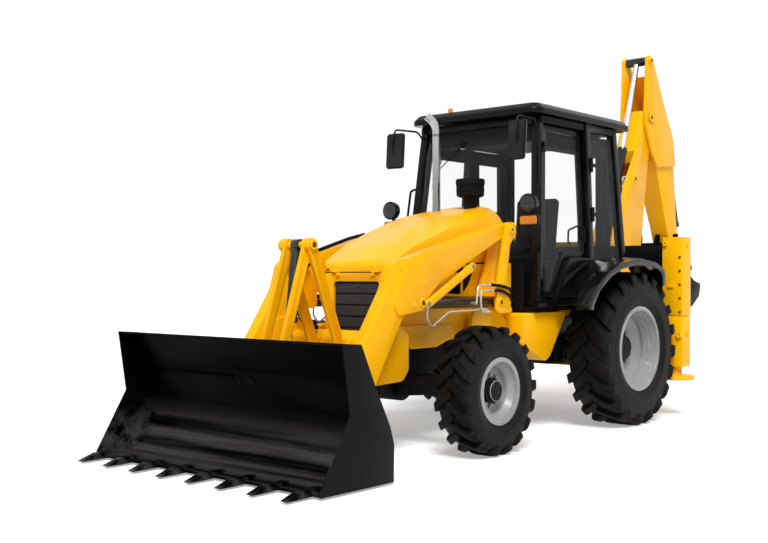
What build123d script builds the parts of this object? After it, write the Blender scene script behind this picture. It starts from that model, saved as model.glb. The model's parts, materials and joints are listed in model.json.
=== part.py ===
from build123d import *
import os
from math import atan2, cos, degrees, hypot, pi, radians, sin, sqrt

# Backhoe loader with a front bucket on two arms, a four-post cab and a rear hoe on a side-shift frame.
# Millimetres. X to the machine's left, Y to the rear, Z up. Y is laid out from the front axle while
# modelling, and every piece is moved by -MID_Y when it is written, so that the origin ends up on the
# floor under the middle of the machine.
os.makedirs("parts", exist_ok=True)

# ---------------------------------------------------------------- driving sizes
FRONT_Y = -2206.0          # tips of the loader bucket's teeth
REAR_Y = 5346.0            # rearmost point of the folded hoe
MID_Y = (FRONT_Y + REAR_Y) / 2
WHEELBASE = 2180.0

FRONT_TYRE_R = 484.0
FRONT_TYRE_W = 310.0
FRONT_RIM_R = 229.0        # bead seat
FRONT_WHEEL_X = 937.0
REAR_TYRE_R = 690.0
REAR_TYRE_W = 430.0
REAR_RIM_R = 356.0
REAR_WHEEL_X = 900.0
HUB_R = 62.0               # stub shaft that carries each wheel
HUB_FIT = 0.05             # radial running clearance of every shaft in its hole
PIN_FIT = 0.05
SIDE_GAP = 6.0             # free space on each side of a moving eye or lug

RAIL_X = 300.0             # chassis rails, centre
RAIL_W = 90.0
RAIL_Z = (600.0, 790.0)
REAR_RAIL_Z = (800.0, 960.0)
KINGPIN_X = 745.0
TIE_R = 20.0               # tie-down holes
TIE_PLATE = 25.0
FRONT_TIE = (-530.0, 462.0)
REAR_TIE = (3130.0, 560.0)
REAR_TIE_X = 902.5

NOSE_Y = -425.0            # front face of the nose
NOSE_HALF = 365.0
PANEL_X = 440.0            # outside of the engine side panels
HOOD_SPLIT_Z = 1372.0      # joint between the nose and the hood
HOOD_REAR_Y = 1010.0
HOOD_TOP_Z = 1950.0
SHEET = 6.0

ARM_IN = 520.0             # loader arm, inside and outside faces
ARM_OUT = 620.0
ARM_PIVOT = (760.0, 1724.0)
LEVER_PIN_R = 28.0
TILT_PIN_R = 28.0
STRUT_X = ARM_OUT + 16     # inside face of the safety strut stowed on the left arm
LIFT_X = (ARM_IN + ARM_OUT) / 2   # the lift rams run in the arms' middle
LIFT_BASE = (607.0, 1131.0)
LIFT_EYE = (-385.0, 1141.0)
BUCKET_PIN = (-1235.0, 265.0)
# central tilt linkage: each row of plates across the machine, from the ram outwards
LEVER_PIN = (-735.0, 760.0)
TILT_TOP = (-1060.0, 1568.0)
TILT_FOOT = (-1185.0, 600.0)
LINK_PIN = (-1381.0, 600.0)
TILT_EYE_HALF = 35.0
FOOT_PLATE_X = (40.0, 56.0)
LINK_EAR_IN_X = (61.0, 77.0)
LINK_X = (82.0, 114.0)
LEVER_X = (119.0, 151.0)
LINK_EAR_OUT_X = (119.0, 137.0)

BUCKET_HALF = 1153.0
BUCKET_PLATE = 16.0
BUCKET_TEETH = 8
TOOTH_EDGE = 108.6         # from the bucket's side to the middle of the outermost tooth
TOOTH_PITCH = 2 * (BUCKET_HALF - TOOTH_EDGE) / (BUCKET_TEETH - 1)
TOOTH_W = 56.0

CAB_SILL_Z = 1140.0
CAB_TOP_Z = 2720.0
ROOF_LIFT = 10.0           # underside of the roof above the top of the frame
ROOF_DEEP = 94.0
POST = 70.0
DOOR_POST_GAP = 45.0       # from a post's centre to the door's edge
DOOR_HINGE = (46.0, 42.0)    # hinge line from the front post's centre, outwards and rearwards
DOOR_HINGE_Z = (CAB_SILL_Z + 120, CAB_TOP_Z - 280)

SLEEVE_X = (940.0, 1150.0)   # stabiliser sleeve, inside and outside faces
SLEEVE_Y = (2905.0, 3080.0)
SLEEVE_Z = (965.0, 1712.0)
CARRIAGE_Y = (3086.0, 3176.0)
SWING_Y = 3390.0
BOOM_FOOT = (3630.0, 880.0)
BOOM_HALF = 120.0
BOOM_RAM_BASE = (3573.0, 1077.0)
BOOM_RAM_EYE = (3935.0, 2394.0)
DIPPER_PIN = (4229.0, 3088.0)
DIPPER_RAM_EYE = (4225.0, 3715.0)
DIPPER_RAM_BASE = (3530.0, 1715.0)
HOE_PIN = (5130.0, 1190.0)
HOE_LINK_PIN = (5260.0, 1015.0)
HOE_HALF = 270.0
LEVER_FOOT = (5020.0, 1540.0)   # hoe tipping lever on the dipper
LEVER_TOP = (5310.0, 1440.0)    # tipping lever, link and ram meet here
CROWD_BASE = (4890.0, 2850.0)


# ---------------------------------------------------------------- small tools
def outline(corners):
    """Closed face through (u, v) or (u, v, radius) corners on the XY plane, in either turning order."""
    count = len(corners)
    ins, outs, mids = [], [], []
    for i, corner in enumerate(corners):
        u, v = corner[0], corner[1]
        r = corner[2] if len(corner) > 2 else 0
        a, b = corners[i - 1], corners[(i + 1) % count]
        da, db = hypot(a[0] - u, a[1] - v), hypot(b[0] - u, b[1] - v)
        ua = ((a[0] - u) / da, (a[1] - v) / da)
        ub = ((b[0] - u) / db, (b[1] - v) / db)
        if r == 0:
            ins.append((u, v))
            outs.append((u, v))
            mids.append(None)
            continue
        cosine = max(-1.0, min(1.0, ua[0] * ub[0] + ua[1] * ub[1]))
        half = atan2(sqrt(1 - cosine * cosine), cosine) / 2
        reach = r * cos(half) / sin(half)
        ins.append((u + ua[0] * reach, v + ua[1] * reach))
        outs.append((u + ub[0] * reach, v + ub[1] * reach))
        bis = (ua[0] + ub[0], ua[1] + ub[1])
        size = hypot(*bis)
        far = r / sin(half) - r
        mids.append((u + bis[0] / size * far, v + bis[1] / size * far))
    edges = []
    for i in range(count):
        if mids[i]:
            edges.append(ThreePointArc(ins[i], mids[i], outs[i]))
        edges.append(Line(outs[i], ins[(i + 1) % count]))
    return make_face(edges)


def plate(corners, x0, x1):
    """A side-view outline of (y, z) corners, thick from x0 to x1."""
    return Pos(x0, 0, 0) * extrude(Plane.YZ * outline(corners), x1 - x0)


def slab(corners, z0, z1):
    """A top-view outline of (x, y) corners, thick from z0 to z1."""
    return Pos(0, 0, z0) * extrude(outline(corners), z1 - z0)


def wall(corners, y0, y1):
    """A front-view outline of (x, z) corners, thick from y0 to y1."""
    return Pos(0, y1, 0) * extrude(Plane.XZ * outline(corners), y1 - y0)


def block(x, y, z):
    """A box from (low, high) spans."""
    centre = Pos((x[0] + x[1]) / 2, (y[0] + y[1]) / 2, (z[0] + z[1]) / 2)
    return centre * Box(x[1] - x[0], y[1] - y[0], z[1] - z[0])


def pin_x(at, r, x0, x1):
    """A round bar along X at (y, z)."""
    return Pos((x0 + x1) / 2, at[0], at[1]) * Rot(Y=90) * Cylinder(r, x1 - x0)


def bar(ends, x0, x1):
    """A flat link: the hull of (y, z, radius) circles, thick from x0 to x1."""
    edges = []
    for y, z, r in ends:
        edges += (Pos(y, z) * Circle(r)).edges()
    return Pos(x0, 0, 0) * extrude(Plane.YZ * make_hull(edges), x1 - x0)


def flip(shape):
    """The shape's mirror image on the machine's other side."""
    return shape.mirror(Plane.YZ)


def both(shape):
    """The shape and its mirror image on the machine's other side."""
    return shape + flip(shape)


def post(low, high, wide, deep):
    """A leaning square tube between two (x, y, z) centres, cut level at both ends."""
    bottom = Pos(*low) * Rectangle(wide, deep)
    top = Pos(*high) * Rectangle(wide, deep)
    return loft([bottom, top], ruled=True)


def tube(points, r):
    """A round bar through the points, with ball corners."""
    body = None
    for a, b in zip(points, points[1:]):
        va, vb = Vector(*a), Vector(*b)
        run = vb - va
        leg = Plane(origin=va, z_dir=run) * Pos(0, 0, run.length / 2) * Cylinder(r, run.length)
        body = leg if body is None else body + leg
    for p in points[1:-1]:
        body += Pos(*p) * Sphere(r)
    return body


def ram(base, eye, x, barrel_r, rod_r, eye_r, half, bare, inside, rod_half=None, piston=True):
    """A hydraulic ram in the plane at x, from its base pin to its rod's eye, both (y, z).

    half is half the width of the eyes, bare is how much rod shows, and inside is how much of it is in
    the barrel. Returns (barrel, rod).
    """
    rod_half = rod_half or half
    run = hypot(eye[0] - base[0], eye[1] - base[1])
    lean = degrees(atan2(-(eye[0] - base[0]), eye[1] - base[1]))
    place = Pos(x, base[0], base[1]) * Rot(X=lean)
    top = run - eye_r - bare
    foot = eye_r + 12
    bore = barrel_r - 8
    barrel = Pos(0, 0, (foot + top) / 2) * Cylinder(barrel_r, top - foot)
    barrel += Pos(0, 0, top - 22) * Cylinder(barrel_r + 6, 44)
    barrel -= Pos(0, 0, (foot + 20 + top - 44) / 2) * Cylinder(bore, top - 64 - foot)
    barrel -= Pos(0, 0, top - 22) * Cylinder(rod_r + PIN_FIT, 60)
    barrel += Rot(Y=90) * Cylinder(eye_r, 2 * half)
    barrel += Pos(0, 0, foot / 2 + 4) * Box(2 * half * 0.9, eye_r * 1.5, foot + 8)
    low = top - inside
    rod = Pos(0, 0, (low + run) / 2) * Cylinder(rod_r, run - low)
    if piston:
        rod += Pos(0, 0, low + 20) * Cylinder(bore - PIN_FIT, 40)
    rod += Pos(0, 0, run) * Rot(Y=90) * Cylinder(eye_r, 2 * rod_half)
    return place * barrel, place * rod


def save(name, shape):
    """Write one piece, moved to the part's own origin."""
    export_step(Pos(0, -MID_Y, 0) * shape, f"parts/{name}.step")


# ---------------------------------------------------------------- chassis
rails = both(block((RAIL_X - RAIL_W / 2, RAIL_X + RAIL_W / 2), (-330, 1560), RAIL_Z))
rails += both(block((RAIL_X - RAIL_W / 2, RAIL_X + RAIL_W / 2), (1420, 2900), REAR_RAIL_Z))
rails += both(block((RAIL_X - RAIL_W / 2, RAIL_X + RAIL_W / 2), (1420, 1560), (RAIL_Z[0], REAR_RAIL_Z[1])))
for y0, y1 in ((-330, -250), (300, 380), (1150, 1230)):
    rails += block((-RAIL_X, RAIL_X), (y0, y1), (RAIL_Z[0] + 20, RAIL_Z[1] - 20))
for y0, y1 in ((1480, 1560), (2700, 2780)):
    rails += block((-RAIL_X, RAIL_X), (y0, y1), (REAR_RAIL_Z[0] + 20, REAR_RAIL_Z[1] - 20))
# loader towers: an inside and an outside plate on each side hold the arm's and the ram's pins
TOWER_OUTLINE = [
    (690, 1784, 40), (830, 1784, 40), (810, 1600, 60), (765, 1300, 100), (800, 1060, 60), (880, 960, 40),
    (880, 700), (400, 700), (400, 1000, 30), (530, 1230, 40), (690, 1600, 40),
]
TOWER_IN = (ARM_IN - SIDE_GAP - 40, ARM_IN - SIDE_GAP)
TOWER_OUT = (ARM_OUT + SIDE_GAP, ARM_OUT + SIDE_GAP + 24)
towers = plate(TOWER_OUTLINE, *TOWER_IN)
towers += plate([(700, 1784, 40), (825, 1784, 40), (835, 1690, 40), (745, 1600, 60), (700, 1336, 200),
                 (712, 1154, 80), (790, 1040, 20), (545, 1040, 40), (560, 1250, 60)], *TOWER_OUT)
towers += block((TOWER_IN[0], TOWER_OUT[1]), (680, 715), (1060, 1300))
towers += block((RAIL_X + RAIL_W / 2, TOWER_IN[1]), (420, 880), (RAIL_Z[0] + 20, RAIL_Z[1] + 40))
towers += pin_x(ARM_PIVOT, 35 - PIN_FIT, TOWER_IN[0] - 10, TOWER_OUT[1] + 12)
towers += pin_x(LIFT_BASE, 28 - PIN_FIT, TOWER_IN[0], TOWER_OUT[1] + 10)
tie_down = bar([(-330, 650, 60), (*FRONT_TIE, 36)], RAIL_X - TIE_PLATE / 2, RAIL_X + TIE_PLATE / 2)
tie_down -= pin_x(FRONT_TIE, TIE_R, RAIL_X - 50, RAIL_X + 50)
save("chassis_frame", rails + both(tie_down))
save("loader_towers", both(towers))

save("engine", block((-240, 240), (-130, 860), (800, 1330)))

# ---------------------------------------------------------------- nose, side panels and grille
nose = slab([(-NOSE_HALF, NOSE_Y, 60), (NOSE_HALF, NOSE_Y, 60), (PANEL_X, 380), (-PANEL_X, 380)], 830,
            HOOD_SPLIT_Z - 3)
nose -= slab([(-NOSE_HALF + SHEET, NOSE_Y + 30, 40), (NOSE_HALF - SHEET, NOSE_Y + 30, 40),
              (PANEL_X - SHEET, 400), (-PANEL_X + SHEET, 400)], 700, 1500)
nose -= wall([(-245, 780), (245, 780), (245, 1300, 40), (-245, 1300, 40)], NOSE_Y - 20, NOSE_Y + 60)
nose -= both(plate([(88, 1231, 15), (352, 1350, 15), (352, 1192, 15), (174, 1204, 15)], PANEL_X - 60,
                   PANEL_X + 20))
HOOD_HINGE = (NOSE_Y - 12, HOOD_SPLIT_Z + 2)
HINGE_R = 8.0
HINGE_PIN_R = 4.0
hinge_seat = block((170, 198), (HOOD_HINGE[0] - 6, NOSE_Y + 4), (HOOD_SPLIT_Z - 30, HOOD_SPLIT_Z - 4))
hinge_seat += pin_x(HOOD_HINGE, HINGE_R, 170, 198) + pin_x(HOOD_HINGE, HINGE_PIN_R - PIN_FIT, 198, 250)
nose += both(hinge_seat)
save("nose_panels", nose)

grille = wall([(-262, 842), (262, 842), (262, 1318, 40), (-262, 1318, 40)], NOSE_Y + 31, NOSE_Y + 43)
opening = wall([(-241, 700), (241, 700), (241, 1296, 36), (-241, 1296, 36)], NOSE_Y, NOSE_Y + 43)
for i in range(5):
    z = 850 + i * 90
    grille += wall([(-240, z, 8), (240, z, 8), (240, z + 78, 8), (-240, z + 78, 8)], NOSE_Y + 14,
                   NOSE_Y + 34) & opening
save("grille", grille)

# ---------------------------------------------------------------- hood
def hood_body(inset):
    """The hood's outside, or with an inset the space under it."""
    side = plate([(NOSE_Y + inset, HOOD_SPLIT_Z - (40 if inset else 0)),
                  (NOSE_Y + inset, HOOD_SPLIT_Z + 70 - inset, 90), (-150, 1585 - inset, 300),
                  (560, 1850 - inset, 900), (HOOD_REAR_Y + (40 if inset else 0), HOOD_TOP_Z - inset),
                  (HOOD_REAR_Y + (40 if inset else 0), 1470 - (40 if inset else 0)),
                  (300, 1440 - (40 if inset else 0), 400)], -600, 600)
    plan = slab([(-NOSE_HALF + inset, NOSE_Y + inset, 70), (NOSE_HALF - inset, NOSE_Y + inset, 70),
                 (PANEL_X - inset, 350, 600), (PANEL_X + 10 - inset, 1100), (-PANEL_X - 10 + inset, 1100),
                 (-PANEL_X + inset, 350, 600)], 1200, 2100)
    front = wall([(-PANEL_X - 20 + inset, 1200), (PANEL_X + 20 - inset, 1200),
                  (400 - inset, 1900 - inset, 260), (0, HOOD_TOP_Z + 30 - inset, 800),
                  (-400 + inset, 1900 - inset, 260)], -600, 1200)
    return side & plan & front


hood = hood_body(0) - hood_body(SHEET)
STACK = (-200.0, 850.0)
PRECLEANER = (110.0, 930.0)
for x, y, r in ((STACK[0], STACK[1], 35), (PRECLEANER[0], PRECLEANER[1], 45)):
    hood -= Pos(x, y, 1900) * Cylinder(r + 1, 400)
hinge_leaf = block((204, 240), (HOOD_HINGE[0], NOSE_Y + 4), (HOOD_SPLIT_Z + 4, HOOD_SPLIT_Z + 22))
hinge_leaf += pin_x(HOOD_HINGE, HINGE_R, 204, 240)
hinge_leaf -= pin_x(HOOD_HINGE, HINGE_PIN_R, 200, 244)
hood += both(hinge_leaf)
save("hood", hood)
fittings = Pos(STACK[0], STACK[1], 2260) * Cylinder(35, 740)
fittings += tube([(STACK[0], STACK[1], 2600), (STACK[0] - 20, STACK[1] - 20, 2700),
                  (STACK[0] - 60, STACK[1] - 60, 2760)], 35)
cleaner = Pos(PRECLEANER[0], PRECLEANER[1], 1990) * Cylinder(45, 160)
cleaner += Pos(PRECLEANER[0], PRECLEANER[1], 2130) * Cylinder(85, 130)
save("hood_fittings", fittings + cleaner)

# ---------------------------------------------------------------- axles, knuckles and wheels
axle_z = FRONT_TYRE_R
beam = wall([(-620, axle_z - 50, 20), (-200, axle_z - 90, 60), (200, axle_z - 90, 60),
             (620, axle_z - 50, 20), (620, axle_z + 50, 20), (200, axle_z + 90, 60),
             (-200, axle_z + 90, 60), (-620, axle_z + 50, 20)], -70, 70)
beam += Pos(0, 0, axle_z) * Rot(Y=90) * Cylinder(140, 230)
beam += block((-RAIL_X - 40, RAIL_X + 40), (-110, 110), (RAIL_Z[0] - 30, RAIL_Z[0]))
beam += block((-60, 60), (-60, 60), (axle_z, RAIL_Z[0]))
axle_end = Pos(KINGPIN_X, 0, axle_z) * Cylinder(62, 150)
axle_end += block((600, KINGPIN_X), (-50, 50), (axle_z - 48, axle_z + 48))
axle_end += Pos(KINGPIN_X, 0, axle_z) * Cylinder(26 - PIN_FIT, 290)
save("front_axle", beam + both(axle_end))

KNUCKLE_Z = 75 + SIDE_GAP + 25      # middle of each knuckle eye, above and below the axle's end
knuckle = Pos(KINGPIN_X, 0, axle_z + KNUCKLE_Z) * Cylinder(70, 50)
knuckle += Pos(KINGPIN_X, 0, axle_z - KNUCKLE_Z) * Cylinder(70, 50)
knuckle -= Pos(KINGPIN_X, 0, axle_z) * Cylinder(26, 400)
knuckle += block((KINGPIN_X + 68, KINGPIN_X + 100), (-70, 70), (axle_z - 131, axle_z + 131))
knuckle += block((KINGPIN_X + 20, KINGPIN_X + 90), (-60, 60), (axle_z + 81, axle_z + 131))
knuckle += block((KINGPIN_X + 20, KINGPIN_X + 90), (-60, 60), (axle_z - 131, axle_z - 81))
knuckle += Pos(KINGPIN_X + 130, 0, axle_z) * Rot(Y=90) * Cylinder(110, 60)
knuckle += Pos(KINGPIN_X + 200, 0, axle_z) * Rot(Y=90) * Cylinder(HUB_R - HUB_FIT, 110)
knuckle -= Pos(KINGPIN_X, 0, axle_z) * Cylinder(26, 400)
save("knuckle_left", knuckle)
save("knuckle_right", flip(knuckle))

rear_z = REAR_TYRE_R
rear = Pos(0, WHEELBASE, rear_z) * Rot(Y=90) * Cylinder(95, 1300)
rear += Pos(0, WHEELBASE, rear_z) * Rot(Y=90) * Cylinder(190, 260)
rear += both(block((RAIL_X - 60, RAIL_X + 60), (WHEELBASE - 90, WHEELBASE + 90), (rear_z, REAR_RAIL_Z[0])))
rear += Pos(0, WHEELBASE, rear_z) * Rot(Y=90) * Cylinder(HUB_R - HUB_FIT, 2 * REAR_WHEEL_X + 20)
save("rear_axle", rear)


def wheel(tyre_r, tyre_w, seat_r, dish, x, y):
    """(tyre, rim) around the X axis; dish is how far the disc sits outside the rim's middle."""
    half = tyre_w / 2
    flange = seat_r + 25
    rim_half = half * 0.86
    section = [(-rim_half + 14.5, seat_r + 0.4), (rim_half - 14.5, seat_r + 0.4),
               (rim_half - 14.5, flange + 8), (rim_half, flange + 12, 8),
               (half, (tyre_r + flange) / 2, 60), (half - 12, tyre_r - 35, 20), (half - 40, tyre_r, 20),
               (-half + 40, tyre_r, 20), (-half + 12, tyre_r - 35, 20), (-half, (tyre_r + flange) / 2, 60),
               (-rim_half, flange + 12, 8), (-rim_half + 14.5, flange + 8)]
    tyre = revolve(Plane.XZ * outline(section), Axis.X)
    rim_section = [(-rim_half, seat_r - 10), (-rim_half, flange), (-rim_half + 12, flange),
                   (-rim_half + 13, seat_r), (rim_half - 13, seat_r), (rim_half - 12, flange),
                   (rim_half, flange), (rim_half, seat_r - 10), (rim_half - 30, seat_r - 14),
                   (60, seat_r - 50), (-60, seat_r - 50), (-rim_half + 30, seat_r - 14)]
    rim = revolve(Plane.XZ * outline(rim_section), Axis.X)
    disc = [(dish - 7, HUB_R + 2), (dish + 7, HUB_R + 2), (dish + 7, seat_r * 0.55), (22, seat_r - 46),
            (0, seat_r - 46), (dish - 7, seat_r * 0.55)]
    rim += revolve(Plane.XZ * outline(disc), Axis.X)
    rim += Pos(dish, 0, 0) * Rot(Y=90) * Cylinder(HUB_R + 32, 70)
    rim += Pos(dish + 40, 0, 0) * Rot(Y=90) * Cylinder(HUB_R + 16, 60)
    rim -= Pos(dish - 6, 0, 0) * Rot(Y=90) * Cylinder(HUB_R, 100)
    place = Pos(x, y, tyre_r)
    return place * tyre, place * rim


# name, tyre radius, tyre width, bead seat, dish, x, y
WHEELS = (
    ("front", FRONT_TYRE_R, FRONT_TYRE_W, FRONT_RIM_R, 20, FRONT_WHEEL_X, 0),
    ("rear", REAR_TYRE_R, REAR_TYRE_W, REAR_RIM_R, -30, REAR_WHEEL_X, WHEELBASE),
)
for name, tyre_r, tyre_w, seat_r, dish, x, y in WHEELS:
    tyre, rim = wheel(tyre_r, tyre_w, seat_r, dish, x, y)
    save(f"{name}_tyre_left", tyre)
    save(f"{name}_rim_left", rim)
    save(f"{name}_tyre_right", flip(tyre))
    save(f"{name}_rim_right", flip(rim))

# ---------------------------------------------------------------- loader
arm = plate([(822, 1724, 30), (780, 1784, 40), (690, 1778), (-540, 1470, 120), (-701, 1446, 60),
             (-759, 1248, 200), (-1033, 853, 600), (-1300, 300, 40), (-1235, 205, 40), (-1165, 250, 40),
             (-897, 579, 300), (-600, 1040, 60), (-330, 1200, 120), (267, 1480, 300), (690, 1665),
             (822, 1664, 40)], ARM_IN, ARM_OUT)
arm -= pin_x(ARM_PIVOT, 35, ARM_IN - 5, ARM_OUT + 5)
arm += plate([(-575, 1452, 30), (-714, 1131, 40), (-670, 1050, 40), (-390, 1085, 55), (-330, 1170, 30),
              (-100, 1360, 60), (-200, 1540, 40)], ARM_OUT, ARM_OUT + 14)
lug = [(-330, 1230), (-450, 1230), (LIFT_EYE[0] - 55, LIFT_EYE[1] - 62, 50),
       (LIFT_EYE[0] + 62, LIFT_EYE[1] - 62, 50)]
arm += plate(lug, ARM_IN, ARM_OUT)
# slot for the lift ram's rod
arm -= plate([(-505, 1290), (-60, 1335), (-60, 1000), (-505, 1000)], ARM_IN + 18, ARM_OUT - 18)
arm += pin_x(BUCKET_PIN, 75, ARM_IN - 10, ARM_OUT + 10)
arm += plate([(-620, 1040), (-470, 950, 40), (-412, 900, 30), (-412, 640, 60), (-480, 560, 60),
              (-900, 545, 60), (-1010, 700), (-830, 1000)], ARM_IN - 30, ARM_IN)
cross = plate([(-470, 900, 30), (-470, 600, 50), (-520, 560, 40), (-630, 560, 40), (-665, 620, 40),
               (-655, 870, 40), (-560, 930, 40)], -ARM_IN + 10, ARM_IN - 10)
cross += pin_x((-1072, 512), 52, -ARM_IN - 5, ARM_IN + 5)
LEVER_IN, LEVER_OUT = LEVER_X
for x0, x1 in ((LEVER_IN - SIDE_GAP - 24, LEVER_IN - SIDE_GAP),
               (LEVER_OUT + SIDE_GAP, LEVER_OUT + SIDE_GAP + 24)):
    cross += both(bar([(*LEVER_PIN, 52), (-650, 810, 60), (-660, 640, 60)], x0, x1))
cross += both(pin_x(LEVER_PIN, LEVER_PIN_R - PIN_FIT, LEVER_IN - SIDE_GAP - 24, LEVER_OUT + SIDE_GAP + 30))
cross += both(bar([(*TILT_FOOT, 46), (-1072, 512, 50)], *FOOT_PLATE_X))
save("loader_arms", both(arm) + cross)
save("safety_strut", bar([(-338, 1134, 29), (222, 1416, 29)], STRUT_X, STRUT_X + 24))

lever = bar([(*LEVER_PIN, 46), (*TILT_TOP, 44)], LEVER_IN, LEVER_OUT)
lever += pin_x(LEVER_PIN, 50, LEVER_IN, LEVER_OUT) + pin_x(TILT_TOP, 50, LEVER_IN, LEVER_OUT)
lever -= pin_x(LEVER_PIN, LEVER_PIN_R, LEVER_IN - 5, LEVER_OUT + 5)
lever = both(lever) + pin_x(TILT_TOP, TILT_PIN_R - PIN_FIT, -LEVER_OUT - 12, LEVER_OUT + 12)
save("tilt_lever", lever)

link = bar([(*TILT_TOP, 42), (*LINK_PIN, 38)], *LINK_X)
link += pin_x(TILT_TOP, 50, *LINK_X)
link -= pin_x(TILT_TOP, TILT_PIN_R, LINK_X[0] - 5, LINK_X[1] + 5)
save("tilt_link", both(link))

tilt_barrel, tilt_rod = ram(TILT_TOP, TILT_FOOT, 0, 44, 26, 44, TILT_EYE_HALF, 362, 140, piston=False)
tilt_barrel -= pin_x(TILT_TOP, TILT_PIN_R, -60, 60)
save("tilt_barrel", tilt_barrel)
save("tilt_rod", tilt_rod)

lift_barrel, lift_rod = ram(LIFT_BASE, LIFT_EYE, LIFT_X, 46, 28, 44, 25, 60, 800, piston=False)
lift_barrel -= pin_x(LIFT_BASE, 28, ARM_IN, ARM_OUT)
save("lift_barrels", both(lift_barrel))
save("lift_rods", both(lift_rod))

side = [(-1810, 927), (-1740, 485), (-2005, 43), (-2005, 17), (-1333, 17), (-1329, 259), (-1369, 381),
        (-1508, 640), (-1643, 916)]
bucket = both(plate(side, BUCKET_HALF - BUCKET_PLATE, BUCKET_HALF))
INNER = BUCKET_HALF - BUCKET_PLATE
skin = plate([(-1995, 17), (-1400, 17, 60), (-1345, 259, 100), (-1385, 381, 100), (-1524, 640, 100),
              (-1662, 916), (-1800, 927), (-1800, 911), (-1680, 900, 10), (-1550, 640, 400),
              (-1440, 200, 240), (-1640, 40, 200), (-1995, 40)], -INNER, INNER)
bucket += skin
EARS = ((ARM_IN - 10 - SIDE_GAP - 24, ARM_IN - 10 - SIDE_GAP),
        (ARM_OUT + 10 + SIDE_GAP, ARM_OUT + 10 + SIDE_GAP + 24))
for x0, x1 in EARS:
    bucket += both(plate([(BUCKET_PIN[0] + 62, BUCKET_PIN[1] + 62, 55),
                          (BUCKET_PIN[0] + 62, BUCKET_PIN[1] - 62, 55), (-1340, 60), (-1400, 60),
                          (-1400, 480), (-1390, 480)], x0, x1))
for x0, x1 in (LINK_EAR_IN_X, LINK_EAR_OUT_X):
    bucket += both(plate([(LINK_PIN[0] + 46, LINK_PIN[1] + 46, 44),
                          (LINK_PIN[0] + 46, LINK_PIN[1] - 56, 44), (-1385, 330), (-1420, 320),
                          (-1560, 640), (-1570, 720)], x0, x1))
for i in range(BUCKET_TEETH):
    x = (i - (BUCKET_TEETH - 1) / 2) * TOOTH_PITCH
    bucket += plate([(FRONT_Y, 20), (-2080, 62, 10), (-1900, 62), (-1900, 40), (-2000, 17), (-2080, 14),
                     (FRONT_Y, 14)], x - TOOTH_W / 2, x + TOOTH_W / 2)
save("loader_bucket", bucket)

# ---------------------------------------------------------------- cab
# corner, sill (x, y), roof (x, y)
CAB_POSTS = {
    "A": ((700, 1060), (600, 1235)),
    "B": ((715, 1930), (640, 1960)),
    "C": ((700, 2600), (625, 2480)),
}
LEDGE_Z = 1502.0            # underside of the glass above the rear wheels


def at_height(name, z):
    """(x, y) of a post's centre at height z."""
    low, high = CAB_POSTS[name]
    t = (z - CAB_SILL_Z + 60) / (CAB_TOP_Z + 70 - CAB_SILL_Z)
    return low[0] + (high[0] - low[0]) * t, low[1] + (high[1] - low[1]) * t


frame = None
for name, start in (("A", CAB_SILL_Z - 60), ("B", LEDGE_Z), ("C", LEDGE_Z)):
    top = CAB_TOP_Z + ROOF_LIFT
    leg = post((*at_height(name, start), start), (*at_height(name, top), top), POST, POST)
    frame = leg if frame is None else frame + leg
# side wall between the wheels, and the shelf over the fender that carries the posts
side_wall = block((598, 640), (1030, 2640), (CAB_SILL_Z - 60, LEDGE_Z))
side_wall -= plate([(1020, CAB_SILL_Z), (1300, CAB_SILL_Z, 60), (1520, LEDGE_Z, 60), (1520, 1600),
                    (1020, 1600)], 500, 700)
frame += side_wall
frame += plate([(1030, 1080), (1030, CAB_SILL_Z), (1310, CAB_SILL_Z, 60), (1530, LEDGE_Z, 60),
                (2640, LEDGE_Z), (2640, 1476), (1798, 1468), (1464, 1336), (1322, 1122), (1322, 1080)],
               638, 740)
frame += block((590, 660), (1215, 2500), (CAB_TOP_Z - 60, CAB_TOP_Z))
frame = both(frame)
frame += block((-700, 700), (1030, 1095), (CAB_SILL_Z - 60, CAB_SILL_Z))
frame += block((-640, 640), (2575, 2640), (CAB_SILL_Z - 60, LEDGE_Z))
frame += block((-600, 600), (1205, 1265), (CAB_TOP_Z - 60, CAB_TOP_Z))
frame += block((-625, 625), (2450, 2510), (CAB_TOP_Z - 60, CAB_TOP_Z))

roof = slab([(-700, 1080, 110), (700, 1080, 110), (700, 2770, 110), (-700, 2770, 110)],
            CAB_TOP_Z + ROOF_LIFT, CAB_TOP_Z + ROOF_LIFT + ROOF_DEEP)
roof = chamfer(roof.faces().sort_by(Axis.Z)[-1].edges(), 48)
save("cab_roof", roof)

floor = block((-640, 640), (1030, 2640), (CAB_SILL_Z - 40 - 60, CAB_SILL_Z - 60))
floor += block((-600, 600), (1012, 1030), (CAB_SILL_Z - 100, 1470))
console = plate([(1130, CAB_SILL_Z - 60), (1330, CAB_SILL_Z - 60), (1290, 1640, 30), (1130, 1760, 40)],
                -130, 130)
column = tube([(0, 1280, 1560), (0, 1400, 1830)], 22)
STEERING_R = 190
steering = Plane(origin=(0, 1405, 1842), z_dir=(0, 120, 270))
wheel_ring = steering * Torus(STEERING_R, 14)
for turn in range(3):
    spoke = Rot(Z=90 + 120 * turn) * Pos(STEERING_R / 2, 0, 0) * Box(STEERING_R, 22, 10)
    wheel_ring += steering * spoke
save("cab_floor", floor + console + column + wheel_ring)

seat_base = plate([(1720, CAB_SILL_Z - 60), (2080, CAB_SILL_Z - 60), (2040, 1540), (1740, 1540)], -170, 170)
save("seat_base", seat_base)
cushion = plate([(1650, 1542, 50), (2160, 1542, 40), (2280, 2230, 60), (2150, 2250, 50), (2080, 1660, 60),
                 (1650, 1650, 50)], -250, 250)
save("seat", cushion)


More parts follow.
